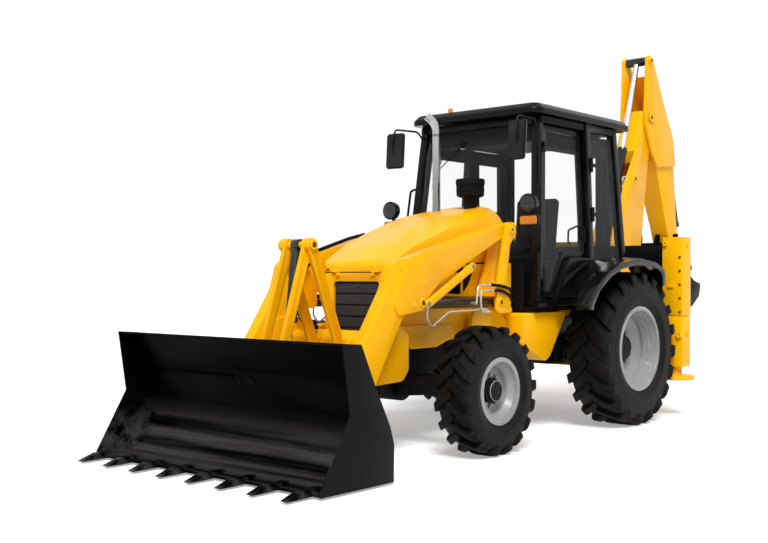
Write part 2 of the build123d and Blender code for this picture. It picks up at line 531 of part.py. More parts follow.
def leaning_pane(quad, thick_x, thick_y):
    """A flat pane between its low edge and its high edge, each ((x, y), (x, y)), from z0 to z1."""
    (a, b), z0, (c, d), z1 = quad
    def strip(p, q, z):
        corners = [(p[0] - thick_x, p[1] - thick_y), (q[0] - thick_x, q[1] - thick_y)]
        corners += [(q[0] + thick_x, q[1] + thick_y), (p[0] + thick_x, p[1] + thick_y)]
        return Pos(0, 0, z) * make_face(Polyline(*corners, close=True))
    return loft([strip(a, b, z0), strip(c, d, z1)], ruled=True)


def pane_between(name, z):
    x, y = at_height(name, z)
    return ((-x + POST / 2 + 1, y), (x - POST / 2 - 1, y))


low_z, high_z = 1482, CAB_TOP_Z - 62
windscreen = leaning_pane((pane_between("A", low_z), low_z, pane_between("A", high_z), high_z), 0, 3)
rear_glass = leaning_pane((pane_between("C", LEDGE_Z + 1), LEDGE_Z + 1, pane_between("C", high_z), high_z),
                          0, 3)


def side_between(z):
    bx, by = at_height("B", z)
    cx, cy = at_height("C", z)
    return (bx, by + POST / 2 + 1), (cx, cy - POST / 2 - 1)


quarter = leaning_pane((side_between(LEDGE_Z + 1), LEDGE_Z + 1, side_between(high_z), high_z), 3, 0)
save("cab_glass", windscreen + rear_glass + both(quarter))

# doors: a welded frame with one pane, hinged on the middle post
DOOR_Z = (CAB_SILL_Z + 16, CAB_TOP_Z - 66)


def door_slice(z, y0, y1, x_in, x_out):
    ax, ay = at_height("A", z)
    edge = Polyline((ax + x_in, y0), (ax + x_in, y1), (ax + x_out, y1), (ax + x_out, y0), close=True)
    return Pos(0, 0, z) * make_face(edge)


def door_solid(inset, x_in, x_out):
    z0, z1 = DOOR_Z[0] + inset, DOOR_Z[1] - inset
    slices = []
    for z in (z0, z1):
        front = at_height("A", z)[1] + DOOR_POST_GAP + inset
        back = at_height("B", z)[1] - DOOR_POST_GAP - inset
        slices.append(door_slice(z, front, back, x_in, x_out))
    body = loft(slices, ruled=True)
    cut = [(1300 - inset * 0.4, DOOR_Z[0] - 50), (1300 - inset * 0.4, DOOR_Z[0] + inset, 60),
           (1520 - inset * 0.6, LEDGE_Z + 8 + inset, 60), (2100, LEDGE_Z + 8 + inset),
           (2100, DOOR_Z[0] - 50)]
    return body - plate(cut, 500, 800)


door = door_solid(0, -20, 20) - door_solid(55, -40, 40)
door_pane = door_solid(55.5, -4, 4)


def door_axis(z):
    """The point of the door's hinge line at height z."""
    ax, ay = at_height("A", z)
    return ax + DOOR_HINGE[0], ay + DOOR_HINGE[1], z


def along_hinge(z0, z1, r):
    """A round bar on the hinge line, between two heights."""
    low, high = Vector(*door_axis(z0)), Vector(*door_axis(z1))
    run = high - low
    return Plane(origin=low, z_dir=run) * Pos(0, 0, run.length / 2) * Cylinder(r, run.length)


hinge_seats = None
for z in DOOR_HINGE_Z:
    x, y, _ = door_axis(z)
    door += along_hinge(z, z + 60, HINGE_R + 1) + block((x - 30, x), (y + 5, y + 28), (z + 8, z + 52))
    door -= along_hinge(z - 10, z + 70, HINGE_PIN_R)
    seat = along_hinge(z - 36, z - 6, HINGE_R + 1) + block((x - 16, x), (y - 30, y + 4), (z - 34, z - 8))
    seat += along_hinge(z - 10, z + 50, HINGE_PIN_R - PIN_FIT)
    hinge_seats = seat if hinge_seats is None else hinge_seats + seat
save("cab_frame", frame + both(hinge_seats))
save("door_left", door)
save("door_glass_left", door_pane)
save("door_right", flip(door))
save("door_glass_right", flip(door_pane))

# ---------------------------------------------------------------- fenders, tanks, mirrors and lamps
# height of the fender's line at its inner edge, and the flared outer lip
ARCH = [(1324, 1092), (1324, 1166, 15), (1409, 1240, 90), (1608, 1357, 200), (1855, 1470, 400),
        (2112, 1508, 400), (2400, 1502, 300), (2600, 1440, 150), (2700, 1340)]
LIP = [(1205, 1060), (1210, 1100, 30), (1328, 1256, 150), (1531, 1376, 200), (1740, 1449, 300),
       (2002, 1493, 400), (2228, 1485, 300), (2415, 1461, 200), (2584, 1390, 80), (2593, 1269)]


def lowered(line, drop, back):
    """The same line moved inwards by drop, with its last corners pulled in."""
    middle = (line[0][0] + line[-1][0]) / 2
    out = []
    for corner in line:
        lean = max(-1.0, min(1.0, (corner[0] - middle) / 700))
        shift = -lean * drop * (abs(lean) > 0.45)
        fall = drop * (1 - 0.6 * abs(lean)) if 1100 < corner[1] else 0
        out.append((corner[0] + shift, corner[1] - fall, *corner[2:]))
    return out[::back]


def under(line):
    """The space under a line, down to the axle's height."""
    return plate([(line[0][0], REAR_TYRE_R)] + list(line) + [(line[-1][0], REAR_TYRE_R)], 990, 1004)


fender = plate(ARCH + lowered(ARCH, 12, -1), 741, 1000)
fender += plate(LIP + lowered(LIP, 14, -1), 1000, 1126)
fender += plate(LIP + lowered(LIP, 60, -1), 1114, 1130)
web = under(ARCH) + under(LIP) - (under(lowered(ARCH, 12, 1)) & under(lowered(LIP, 14, 1)))
fender += web & block((980, 1010), (1200, 2570), (1085, 1600))
save("fenders", both(fender))

tank = plate([(905, 1030, 30), (905, 770, 30), (1041, 700, 60), (1260, 610, 60), (1330, 650, 40),
              (1580, 985), (1580, 1030)], 352, 668)
save("side_tanks_steps", both(tank))
step = block((540, 672), (1420, 1560), (585, 600)) + block((555, 570), (1430, 1550), (598, 860))
step += block((650, 665), (1430, 1550), (598, 700)) + block((540, 672), (1420, 1560), (690, 705))
save("steps", both(step - tank))

# side, glass centre x, drop of its centre below the cab's top, glass size (x, z)
MIRRORS = (
    (1, 613, 238, 200, 340),
    (-1, -715, 233, 200, 326),
)
mirrors = None
for sign, x, drop, wide, tall in MIRRORS:
    z = CAB_TOP_Z - drop
    start = (sign * 660, 1100, z + 130)
    arm_end = (x + sign * 10, 930, z + 90)
    mirror = tube([start, (x + sign * 20, 1000, z + 170), arm_end], 11)
    mirror += Pos(x, 900, z) * Rot(Z=sign * -8) * Box(wide, 46, tall)
    mirrors = mirror if mirrors is None else mirrors + mirror
lamp_post = tube([(700, 1050, 1900), (745, 960, 1940)],
                 14) + Pos(745, 900, 1940) * Rot(X=90) * Cylinder(82, 90)
lamp_post += block((690, 800), (860, 940), (1780, 1840)) + block((735, 755), (895, 915), (1835, 1870))
save("mirrors_lamps", mirrors + lamp_post + flip(lamp_post))

# ---------------------------------------------------------------- hoe frame, stabilisers
FRAME_TOP = (1480.0, 1640.0)
FRAME_LOW = (500.0, 620.0)
hoe_frame = block((-SLEEVE_X[0], SLEEVE_X[0]), (2940, SLEEVE_Y[1]), FRAME_TOP)
hoe_frame += block((-SLEEVE_X[0] + 60, SLEEVE_X[0] - 60), (2940, SLEEVE_Y[1]), FRAME_LOW)
hoe_frame += both(block((RAIL_X - 60, RAIL_X + 60), (2900, 2960), (FRAME_LOW[0], FRAME_TOP[1])))
hoe_frame += both(block((SLEEVE_X[0] - 120, SLEEVE_X[0] - 1), (2940, SLEEVE_Y[1]),
                        (FRAME_LOW[0], FRAME_TOP[1])))
rear_tie = plate([(3075, 490), (3170, 500, 40), (3170, 620, 40), (3075, 660)], REAR_TIE_X - TIE_PLATE / 2,
                 REAR_TIE_X + TIE_PLATE / 2)
hoe_frame += both(rear_tie - pin_x(REAR_TIE, TIE_R, 800, 1000))
save("hoe_frame", hoe_frame)

sleeve = block(SLEEVE_X, SLEEVE_Y, SLEEVE_Z)
sleeve -= block((SLEEVE_X[0] + 14, SLEEVE_X[1] - 14), (SLEEVE_Y[0] + 14, SLEEVE_Y[1] - 14),
                (SLEEVE_Z[0] - 10, SLEEVE_Z[1] - 14))
save("stabiliser_sleeves", both(sleeve))
leg_gap = 14.4
leg = block((SLEEVE_X[0] + leg_gap, SLEEVE_X[1] - leg_gap), (SLEEVE_Y[0] + leg_gap, SLEEVE_Y[1] - leg_gap),
            (480, SLEEVE_Z[1] - 60))
leg += block((SLEEVE_X[0] + 4, SLEEVE_X[1] - 4), (SLEEVE_Y[0] + 4, SLEEVE_Y[1] - 4), (480, SLEEVE_Z[0] - 6))
centre = ((SLEEVE_X[0] + SLEEVE_X[1]) / 2, (SLEEVE_Y[0] + SLEEVE_Y[1]) / 2)
leg += Pos(centre[0], centre[1], 435) * Cylinder(50, 110)
leg += Pos(centre[0], centre[1], 375) * Cylinder(165, 40)
save("stabiliser_leg_left", leg)
save("stabiliser_leg_right", flip(leg))

# ---------------------------------------------------------------- hoe
carriage = block((-330, 330), CARRIAGE_Y, (430, 1690))
carriage += block((-330, 330), (2920, CARRIAGE_Y[0] + 5), (FRAME_TOP[1] + 5, 1690))
carriage += block((-330, 330), (2920, CARRIAGE_Y[0] + 5), (430, FRAME_LOW[0] - 5))
LUGS = ((600, 660), (1000, 1060))
for z0, z1 in LUGS:
    carriage += block((-75, 75), (CARRIAGE_Y[1] - 5, SWING_Y), (z0, z1))
    carriage += Pos(0, SWING_Y, (z0 + z1) / 2) * Cylinder(75, z1 - z0)
carriage += Pos(0, SWING_Y, 830) * Cylinder(40 - PIN_FIT, 480)
save("sideshift_carriage", carriage)

BOSS = (LUGS[0][1] + SIDE_GAP, LUGS[1][0] - SIDE_GAP)
FORK_IN = BOOM_HALF + SIDE_GAP
FORK_OUT = FORK_IN + 32
king = Pos(0, SWING_Y, (BOSS[0] + BOSS[1]) / 2) * Cylinder(82, BOSS[1] - BOSS[0])
king += block((-FORK_OUT, FORK_OUT), (SWING_Y - 25, SWING_Y + 40), (BOSS[0] + 10, BOSS[1] - 10))
cheek = plate([(SWING_Y - 25, BOSS[0] + 10), (3600, 690, 60), (BOOM_FOOT[0] + 90, 800, 70),
               (BOOM_FOOT[0] + 90, 960, 70), (BOOM_RAM_BASE[0] + 70, BOOM_RAM_BASE[1] + 30, 50),
               (BOOM_RAM_BASE[0] + 10, BOOM_RAM_BASE[1] + 72, 50),
               (BOOM_RAM_BASE[0] - 80, BOOM_RAM_BASE[1] + 40, 50), (SWING_Y + 92, LUGS[1][0] - 10, 10),
               (SWING_Y + 92, BOSS[1] - 10, 10), (SWING_Y - 25, BOSS[1] - 10)], FORK_IN, FORK_OUT)
king += both(cheek)
king -= Pos(0, SWING_Y, 830) * Cylinder(40, 900)
king += pin_x(BOOM_FOOT, 40 - PIN_FIT, -FORK_OUT - 12, FORK_OUT + 12)
king += pin_x(BOOM_RAM_BASE, 32 - PIN_FIT, -FORK_OUT - 12, FORK_OUT + 12)
save("kingpost", king)

boom_side = [(3562, 870, 60), (3580, 812, 60), (3690, 812, 60), (3760, 960, 60), (4055, 1562, 500),
             (4231, 2554, 600), (4314, 2892, 200), (4335, 3150, 90), (4150, 3180, 90), (3962, 2707, 500),
             (3690, 2290, 200), (3600, 2018, 100), (3460, 1830, 60), (3440, 1680, 60), (3520, 1560, 60),
             (3550, 1400, 60), (3614, 1190, 60), (3614, 1000, 60), (3568, 950, 20)]
boom = plate(boom_side, -BOOM_HALF, BOOM_HALF)
# the front is open for the two rams
boom -= plate([(3300, 700), (3640, 700), (3700, 960), (3800, 1250, 200), (4015, 1580, 300),
               (4140, 2180, 300), (4180, 2440, 60), (4100, 2580, 60), (3990, 2560, 30), (3950, 2730),
               (3800, 2730), (3300, 2300)], -BOOM_HALF + 18, BOOM_HALF - 18)
boom += pin_x(BOOM_FOOT, 64, -BOOM_HALF, BOOM_HALF)
boom -= pin_x(BOOM_FOOT, 40, -BOOM_HALF - 5, BOOM_HALF + 5)
boom += pin_x(DIPPER_PIN, 42 - PIN_FIT, -BOOM_HALF - 50, BOOM_HALF + 50)
boom += pin_x(DIPPER_RAM_BASE, 30 - PIN_FIT, -BOOM_HALF - 10, BOOM_HALF + 10)
boom += both(pin_x(BOOM_RAM_EYE, 48, BOOM_HALF - 20, BOOM_HALF + 5))
save("hoe_boom", boom)

boom_barrel, boom_rod = ram(BOOM_RAM_BASE, BOOM_RAM_EYE, 0, 46, 30, 46, 44, 60, 800)
boom_barrel -= pin_x(BOOM_RAM_BASE, 32, -60, 60)
save("boom_barrel", boom_barrel)
save("boom_rod", boom_rod)

DIP_IN = BOOM_HALF + SIDE_GAP
DIP_OUT = DIP_IN + 28
fork = plate([(4172, 3775, 50), (4290, 3765, 50), (4538, 3321, 300), (4798, 2909, 300), (4850, 2600),
              (4400, 2560, 60), (4280, 2700, 100), (4130, 2990, 60), (4120, 3140, 60), (4158, 3640)],
             DIP_IN, DIP_OUT)
dipper = both(fork)
beam = plate([(4392, 2640, 60), (4470, 2980, 150), (4640, 3090, 20), (4798, 2909, 100), (5017, 1780, 300),
              (5190, 1200, 56), (5150, 1132, 50), (5070, 1150, 50), (4950, 1400, 100), (4780, 1790, 300)],
             -DIP_IN - 1, DIP_IN + 1)
DIP_WIDE = DIP_IN + 4        # half widths of the beam at the fork and at the bucket's pin
DIP_SLIM = 100
beam &= wall([(-DIP_WIDE, 3200), (DIP_WIDE, 3200), (DIP_WIDE, 2700), (DIP_SLIM, 1900), (DIP_SLIM, 1000),
              (-DIP_SLIM, 1000), (-DIP_SLIM, 1900), (-DIP_WIDE, 2700)], 4000, 5400)
dipper += beam
dipper += plate([(4325, 3570), (4538, 3321, 300), (4740, 3000), (4720, 2985), (4520, 3300, 300),
                 (4308, 3556)], -DIP_IN - 1, DIP_IN + 1)
dipper -= pin_x(DIPPER_PIN, 42, -200, 200)
dipper += both(pin_x(DIPPER_RAM_EYE, 40, DIP_IN, DIP_OUT + 14))
dipper += both(bar([(CROWD_BASE[0], CROWD_BASE[1], 42), (4790, 2900, 40), (4830, 2640, 40)], 50, 70))
dipper += pin_x(CROWD_BASE, 22 - PIN_FIT, -76, 76)
TIP_X = (DIP_SLIM + SIDE_GAP, DIP_SLIM + SIDE_GAP + 22)
dipper += pin_x(LEVER_FOOT, 26 - PIN_FIT, -TIP_X[1] - 6, TIP_X[1] + 6)
dipper -= pin_x(HOE_PIN, 32, -120, 120)
save("hoe_dipper", dipper)

dipper_barrel, dipper_rod = ram(DIPPER_RAM_BASE, DIPPER_RAM_EYE, 0, 48, 32, 45, 40, 1000, 220,
                                rod_half=DIP_IN - SIDE_GAP)
dipper_barrel -= pin_x(DIPPER_RAM_BASE, 30, -60, 60)
save("dipper_barrel", dipper_barrel)
save("dipper_rod", dipper_rod)

crowd_barrel, crowd_rod = ram(CROWD_BASE, LEVER_TOP, 0, 44, 26, 36, 34, 470, 200)
crowd_barrel -= pin_x(CROWD_BASE, 22, -60, 60)
save("crowd_barrel", crowd_barrel)
save("crowd_rod", crowd_rod)

tip_lever = bar([(LEVER_FOOT[0], LEVER_FOOT[1], 38), (LEVER_TOP[0], LEVER_TOP[1], 36)], *TIP_X)
tip_lever += pin_x(LEVER_TOP, 24 - PIN_FIT, 40, TIP_X[1])
tip_lever -= pin_x(LEVER_FOOT, 26, 90, 140)
save("hoe_tip_lever", both(tip_lever))
tip_link = both(bar([(LEVER_TOP[0], LEVER_TOP[1], 36), (HOE_LINK_PIN[0], HOE_LINK_PIN[1], 34)], 70, 95))
tip_link -= pin_x(LEVER_TOP, 24, -200, 200)
tip_link += pin_x(HOE_LINK_PIN, 34, -95, 95)
save("hoe_tip_link", tip_link)

# mouth edge first, then round the back
hoe_back = [(5228, 1108), (5050, 1000, 100), (4850, 930, 200), (4600, 1010, 250), (4540, 1300, 400),
            (4590, 1560, 300), (4690, 1722)]
hoe_side = [(4725, 1700), (4900, 1400, 300), (5090, 1290, 60), (5265, 1250, 20)] + hoe_back
hoe_bucket = both(plate(hoe_side, HOE_HALF - 18, HOE_HALF))
hoe_inner = [(4712, 1712), (4608, 1550, 290), (4558, 1300, 385), (4615, 1020, 235), (4850, 947, 190),
             (5046, 1017, 95), (5142, 1074)]
hoe_bucket += plate([(5150, 1060)] + hoe_back[1:] + hoe_inner, -HOE_HALF + 1, HOE_HALF - 1)
ear = plate([(5080, 1245, 40), (5180, 1250, 50), (5302, 1035, 38), (5275, 972, 38), (5180, 1010),
             (4950, 955), (4950, 1010), (5068, 1190, 40)], DIP_SLIM + SIDE_GAP, DIP_SLIM + SIDE_GAP + 24)
hoe_bucket += both(ear)
hoe_bucket += pin_x(HOE_PIN, 32 - PIN_FIT, -140, 140)
for x in (-220, 0, 220):
    hoe_bucket += plate([(4712, 1680), (4668, 1690), (4700, 1800), (4720, 1820), (4728, 1800),
                         (4726, 1700)], x - 26, x + 26)
save("hoe_bucket", hoe_bucket)
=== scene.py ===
import json
from math import cos, pi, radians, sin, tau

import bmesh
import bpy
from mathutils import Matrix, Vector

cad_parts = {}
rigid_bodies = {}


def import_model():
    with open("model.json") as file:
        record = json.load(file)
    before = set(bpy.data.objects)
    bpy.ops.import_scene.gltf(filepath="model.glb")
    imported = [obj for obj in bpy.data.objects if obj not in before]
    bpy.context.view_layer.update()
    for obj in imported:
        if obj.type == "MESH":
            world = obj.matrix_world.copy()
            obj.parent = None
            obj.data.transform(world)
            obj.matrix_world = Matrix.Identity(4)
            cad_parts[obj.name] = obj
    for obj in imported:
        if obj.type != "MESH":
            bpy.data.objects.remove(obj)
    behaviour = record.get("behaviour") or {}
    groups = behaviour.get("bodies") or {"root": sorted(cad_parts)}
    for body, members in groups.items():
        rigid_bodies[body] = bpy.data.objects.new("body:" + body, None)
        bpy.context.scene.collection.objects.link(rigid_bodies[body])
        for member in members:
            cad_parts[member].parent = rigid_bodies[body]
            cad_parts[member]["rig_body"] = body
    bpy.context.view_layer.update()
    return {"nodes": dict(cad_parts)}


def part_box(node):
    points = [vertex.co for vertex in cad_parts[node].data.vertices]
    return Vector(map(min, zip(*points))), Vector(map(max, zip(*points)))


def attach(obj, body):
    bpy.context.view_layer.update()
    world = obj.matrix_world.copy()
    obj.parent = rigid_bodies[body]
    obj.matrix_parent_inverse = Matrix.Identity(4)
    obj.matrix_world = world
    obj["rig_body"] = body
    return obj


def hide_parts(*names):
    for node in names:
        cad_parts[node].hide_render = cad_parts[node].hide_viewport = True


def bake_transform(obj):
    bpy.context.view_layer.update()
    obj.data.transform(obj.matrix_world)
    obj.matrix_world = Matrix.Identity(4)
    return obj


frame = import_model()
AXLE_Y = (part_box("front_axle")[0].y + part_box("front_axle")[1].y) / 2
FROM_AXLE = Matrix.Translation((0, AXLE_Y, 0)) @ Matrix.Scale(0.001, 4)
SIDES = (("left", 1), ("right", -1))

# ------------------------------------------------------------------ studio
# A plain pale floor in a white room with one broad soft lamp, so that the paint shows its own colour.
# The camera stands off the machine's front left corner at chest height and looks level across it.
SUN_HEIGHT, SUN_FROM = 48, 40       # degrees up, and round from the front towards the machine's left
SUN_POWER, SUN_WIDE = 3.3, 24       # watts to the square metre, degrees across
ROOM_FILL, ROOM_SEEN = 0.4, 0.64    # light on the machine, and what more shows straight, in glass or mirrors
FLOOR_HALF, FLOOR_LIFT = 60, 0.34   # metres, and the glow that keeps the floor white away from shadows
CAMERA_OUT, CAMERA_AHEAD, CAMERA_HIGH = 5.5455, 6.5337, 1.34    # metres from the front axle's middle
CAMERA_TURN, CAMERA_TIP = 40.72, 0.0044                         # degrees round, radians above level
CAMERA_LENS, CAMERA_SENSOR = 49.66, 36                          # millimetres


class Amount:
    """What comes out of a shader node. Sums on it add Math nodes."""

    def __init__(self, finish, socket):
        self.finish = finish
        self.socket = socket

    def maths(self, operation, first, second=0.0):
        return self.finish.node("ShaderNodeMath", {"operation": operation}, {0: first, 1: second})

    def __add__(self, other):
        return self.maths("ADD", self, other)

    def __radd__(self, other):
        return self.maths("ADD", other, self)

    def __sub__(self, other):
        return self.maths("SUBTRACT", self, other)

    def __rsub__(self, other):
        return self.maths("SUBTRACT", other, self)

    def __mul__(self, other):
        return self.maths("MULTIPLY", self, other)

    def __abs__(self):
        return self.maths("ABSOLUTE", self)

    def rising(self, low, high):
        """0 below low, 1 above high, smooth between."""
        return self.finish.node("ShaderNodeMapRange", {"interpolation_type": "SMOOTHSTEP"},
                                {0: self, 1: low, 2: high, 3: 0.0, 4: 1.0})


class Finish:
    """A material whose shader is built a node at a time."""

    def __init__(self, name, tree=None):
        self.made = None if tree else bpy.data.materials.new(name)
        if self.made:
            self.made.use_nodes = True
        self.tree = tree or self.made.node_tree
        self.tree.nodes.clear()

    def node(self, kind, settings=None, sockets=None, out=0):
        made = self.tree.nodes.new(kind)
        for key, value in (settings or {}).items():
            setattr(made, key, value)
        for key, value in (sockets or {}).items():
            if isinstance(value, Amount):
                self.tree.links.new(value.socket, made.inputs[key])
            else:
                made.inputs[key].default_value = value
        return Amount(self, made.outputs[out])

    def blend(self, amount, first, second):
        return self.node("ShaderNodeMix", {"data_type": "RGBA"}, {0: amount, 6: first, 7: second}, out=2)

    def place(self):
        return self.node("ShaderNodeTexCoord", out=3)

    def along(self, axis):
        return self.node("ShaderNodeSeparateXYZ", None, {0: self.place()}, out="XYZ".index(axis))

    def cloud(self, per_metre, detail=3.0, roughness=0.55, stretch=(1, 1, 1)):
        """Noise between 0 and 1, with so many lumps to the metre."""
        where = self.node("ShaderNodeMapping", None, {0: self.place(), 3: stretch})
        return self.node("ShaderNodeTexNoise", None,
                         {"Vector": where, "Scale": per_metre, "Detail": detail, "Roughness": roughness})

    def bump(self, height, strength, metres):
        return self.node("ShaderNodeBump", None, {"Height": height, "Strength": strength, "Distance": metres})

    def covers(self, shader, kind="ShaderNodeOutputMaterial"):
        out = self.tree.nodes.new(kind)
        self.tree.links.new(shader.socket, out.inputs[0])

    def coated(self, **sockets):
        """The material, with these sockets of its principled shader set."""
        named = {key.replace("_", " "): value for key, value in sockets.items()}
        self.covers(self.node("ShaderNodeBsdfPrincipled", None, named))
        return self.made


def tint(red, green, blue):
    """A display colour from 0 to 255 as a shader colour."""
    return tuple((c / 255 / 12.92) if c < 11 else ((c / 255 + 0.055) / 1.055) ** 2.4
                 for c in (red, green, blue)) + (1.0,)


scene = bpy.context.scene


def placed(name, data):
    """A new object in the scene."""
    made = bpy.data.objects.new(name, data)
    scene.collection.objects.link(made)
    return made


sun = placed("sun", bpy.data.lights.new("sun", "SUN"))
sun.data.energy = SUN_POWER
sun.data.angle = radians(SUN_WIDE)
sun.rotation_euler = (radians(90 - SUN_HEIGHT), 0, radians(SUN_FROM))


def seen_straight(made):
    """1 for what the camera sees directly, in a mirror or through glass."""
    rays = made.node("ShaderNodeLightPath")
    glossy = Amount(made, rays.socket.node.outputs["Is Glossy Ray"])
    through = Amount(made, rays.socket.node.outputs["Is Transmission Ray"])
    return (rays + glossy + through).maths("MINIMUM", rays + glossy + through, 1.0)


room = bpy.data.worlds.new("white_room")
room.use_nodes = True
scene.world = room
sky = Finish("sky", room.node_tree)
sky_light = ROOM_FILL + seen_straight(sky) * ROOM_SEEN
sky.covers(sky.node("ShaderNodeBackground", None, {"Color": (1, 1, 1, 1), "Strength": sky_light}),
           "ShaderNodeOutputWorld")

floor_paint = Finish("floor_paint")
floor_matt = floor_paint.node("ShaderNodeBsdfDiffuse", None, {"Color": (0.86, 0.86, 0.86, 1)})
floor_glow = seen_straight(floor_paint) * FLOOR_LIFT
floor_lift = floor_paint.node("ShaderNodeEmission", None, {"Color": (1, 1, 1, 1), "Strength": floor_glow})
floor_paint.covers(floor_paint.node("ShaderNodeAddShader", None, {0: floor_matt, 1: floor_lift}))
floor_mesh = bpy.data.meshes.new("studio_floor")
floor_mesh.from_pydata([(x * FLOOR_HALF, y * FLOOR_HALF, 0) for x, y in ((-1, -1), (1, -1), (1, 1), (-1, 1))],
                       [], [(0, 1, 2, 3)])
floor_mesh.materials.append(floor_paint.made)
placed("studio_floor", floor_mesh)

camera = placed("camera", bpy.data.cameras.new("camera"))
camera.location = (CAMERA_OUT, AXLE_Y - CAMERA_AHEAD, CAMERA_HIGH)
camera.rotation_euler = (pi / 2 + CAMERA_TIP, 0, radians(CAMERA_TURN))
camera.data.lens = CAMERA_LENS
camera.data.sensor_width = CAMERA_SENSOR
scene.camera = camera
scene.view_settings.view_transform = "Standard"

# ------------------------------------------------------------------ yellow steelwork
# Arms, towers, rails, kingpost, boom, dipper and stabilisers: welded steel plate in gloss yellow enamel
# over primer, a little dusty low down, with every edge eased by the grinder.


def enamel(name, lit, deep):
    """Sprayed enamel: slight colour drift, orange peel, dust that thins out above the wheels."""
    made = Finish(name)
    drift = made.cloud(1.3, 2.0)
    colour = made.blend(drift.rising(0.3, 0.75), lit, deep)
    grime = (1 - made.along("Z").rising(0.25, 1.3)) * made.cloud(7, 5.0).rising(0.42, 0.78) * 0.16
    colour = made.blend(grime, colour, tint(120, 98, 66))
    chips = made.cloud(60, 2.0).rising(0.74, 0.8) * (1 - made.along("Z").rising(0.3, 0.9)) * 0.5
    colour = made.blend(chips, colour, tint(92, 80, 66))
    peel = made.bump(made.cloud(190, 1.0), 0.05, 0.0008)
    rough = 0.3 + grime * 0.4 + drift * 0.06
    return made.coated(Base_Color=colour, Roughness=rough, Coat_Weight=0.05, Coat_Roughness=0.1,
                       Specular_IOR_Level=0.14, Normal=peel)


yellow_enamel = enamel("yellow_enamel", tint(252, 184, 3), tint(247, 176, 0))


def coat(data, finish, angle=38):
    """Smooth faces in one finish, with an edge left sharp where faces meet past angle degrees."""
    data.materials.clear()
    data.materials.append(finish)
    for face in data.polygons:
        face.use_smooth = True
        face.material_index = 0
    data.set_sharp_from_angle(angle=radians(angle))


def settled(piece):
    """Let the mesh that a piece's modifiers make take their place."""
    data = bpy.data.meshes.new_from_object(piece.evaluated_get(bpy.context.evaluated_depsgraph_get()))
    piece.modifiers.clear()
    piece.data = data
    return data


def softened(name, width, finish, without=None):
    """A copy of a CAD node with its edges eased, which stands for it. A cutter may be taken off it first."""
    shown = frame["nodes"][name].data.copy()
    shown.name = name + "_eased"
    made = bmesh.new()
    made.from_mesh(shown)
    bmesh.ops.remove_doubles(made, verts=made.verts, dist=0.00005)
    bmesh.ops.dissolve_limit(made, angle_limit=radians(1.2), verts=made.verts, edges=made.edges)
    made.to_mesh(shown)
    made.free()
    piece = placed(name + "_eased", shown)
    if without:
        trim = piece.modifiers.new("trim", "BOOLEAN")
        trim.object = without
        trim.solver = "EXACT"
    ease = piece.modifiers.new("ease", "BEVEL")
    ease.width = width * 0.001
    ease.segments = 2
    ease.limit_method = "ANGLE"
    ease.angle_limit = radians(32)
    ease.miter_outer = "MITER_ARC"
    coat(settled(piece), finish)
    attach(piece, frame["nodes"][name]["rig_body"])
    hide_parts(name)


def paint(finish, *names):
    """Give CAD nodes that stay as they are a finish."""
    for name in names:
        data = frame["nodes"][name].data
        data.materials.clear()
        data.materials.append(finish)


EASED = {"loader_arms": 5, "safety_strut": 5, "tilt_lever": 4, "tilt_link": 4, "loader_towers": 4,
         "kingpost": 4, "hoe_boom": 5, "hoe_dipper": 4, "sideshift_carriage": 4, "stabiliser_sleeves": 5,
         "stabiliser_leg_left": 4, "stabiliser_leg_right": 4, "side_tanks_steps": 6, "nose_panels": 4,
         "hood": 4}      # millimetres off each edge
for name, width in EASED.items():
    softened(name, width, yellow_enamel)

# ------------------------------------------------------------------ black steelwork
# Cab posts, roof, doors, both buckets, axles and steps: black enamel on steel and iron. The buckets carry a
# painted highlight in long streaks low inside, and their side plates are painted lighter outside, as if lit;
# the axles are rough cast iron with dry dust on them.
BUCKET_SIDE = (1.143, 1.1525)       # metres out to a side plate's two faces


def plain_coat(name, lit, deep, gloss, dust, shine=0.1, painted_light=0.0):
    """Plain paint, plastic or rubber, dusty low down. A last argument above 0 paints highlight streaks and
    lit sides.
    """
    made = Finish(name)
    drift = made.cloud(2.2, 3.0)
    colour = made.blend(drift.rising(0.35, 0.7), lit, deep)
    grime = (1 - made.along("Z").rising(0.2, 1.1)) * made.cloud(6, 5.0).rising(0.45, 0.8) * dust
    colour = made.blend(grime, colour, tint(96, 84, 66))
    rough = gloss + grime * 0.4
    if painted_light:
        # painted light: faces out beyond BUCKET_SIDE, the side plates' outer faces, are coloured lighter grey
        # as if lit
        outside = abs(made.along("X")).rising(*BUCKET_SIDE)
        # painted highlight: pale streaks low inside the bucket stand in for the lamp's reflection along its
        # floor
        low = (1 - made.along("Z").rising(0.12, 0.46)) * (1 - outside)
        painted_highlight = made.cloud(1.0, 5.0, 0.6, (0.25, 8, 8)).rising(0.38, 0.62) * low * painted_light
        colour = made.blend(painted_highlight * 0.7, colour, tint(74, 72, 70))
        colour = made.blend(outside * 0.8, colour, tint(30, 30, 30))
        rough = rough - painted_highlight * 0.1
    grain = made.bump(made.cloud(240, 2.0), 0.08, 0.0008)
    return made.coated(Base_Color=colour, Roughness=rough, Specular_IOR_Level=shine, Normal=grain)


black_enamel = plain_coat("black_enamel", tint(9, 9, 10), tint(5, 5, 6), 0.26, 0.05, 0.14)
bucket_black = plain_coat("bucket_black", tint(4, 4, 4), tint(2, 2, 2), 0.3, 0.0, 0.03, 1.0)
cast_black = plain_coat("cast_black", tint(16, 15, 15), tint(9, 9, 9), 0.6, 0.12)
floor_mat = plain_coat("floor_mat", tint(14, 14, 15), tint(9, 9, 10), 0.65, 0.08)
fender_gloss = plain_coat("fender_gloss", tint(10, 10, 11), tint(6, 6, 7), 0.18, 0.05, 0.35)


def at(*spot):
    """Where a point in millimetres from the front axle's middle, on the floor, is in the frame."""
    return tuple(FROM_AXLE @ Vector(spot))


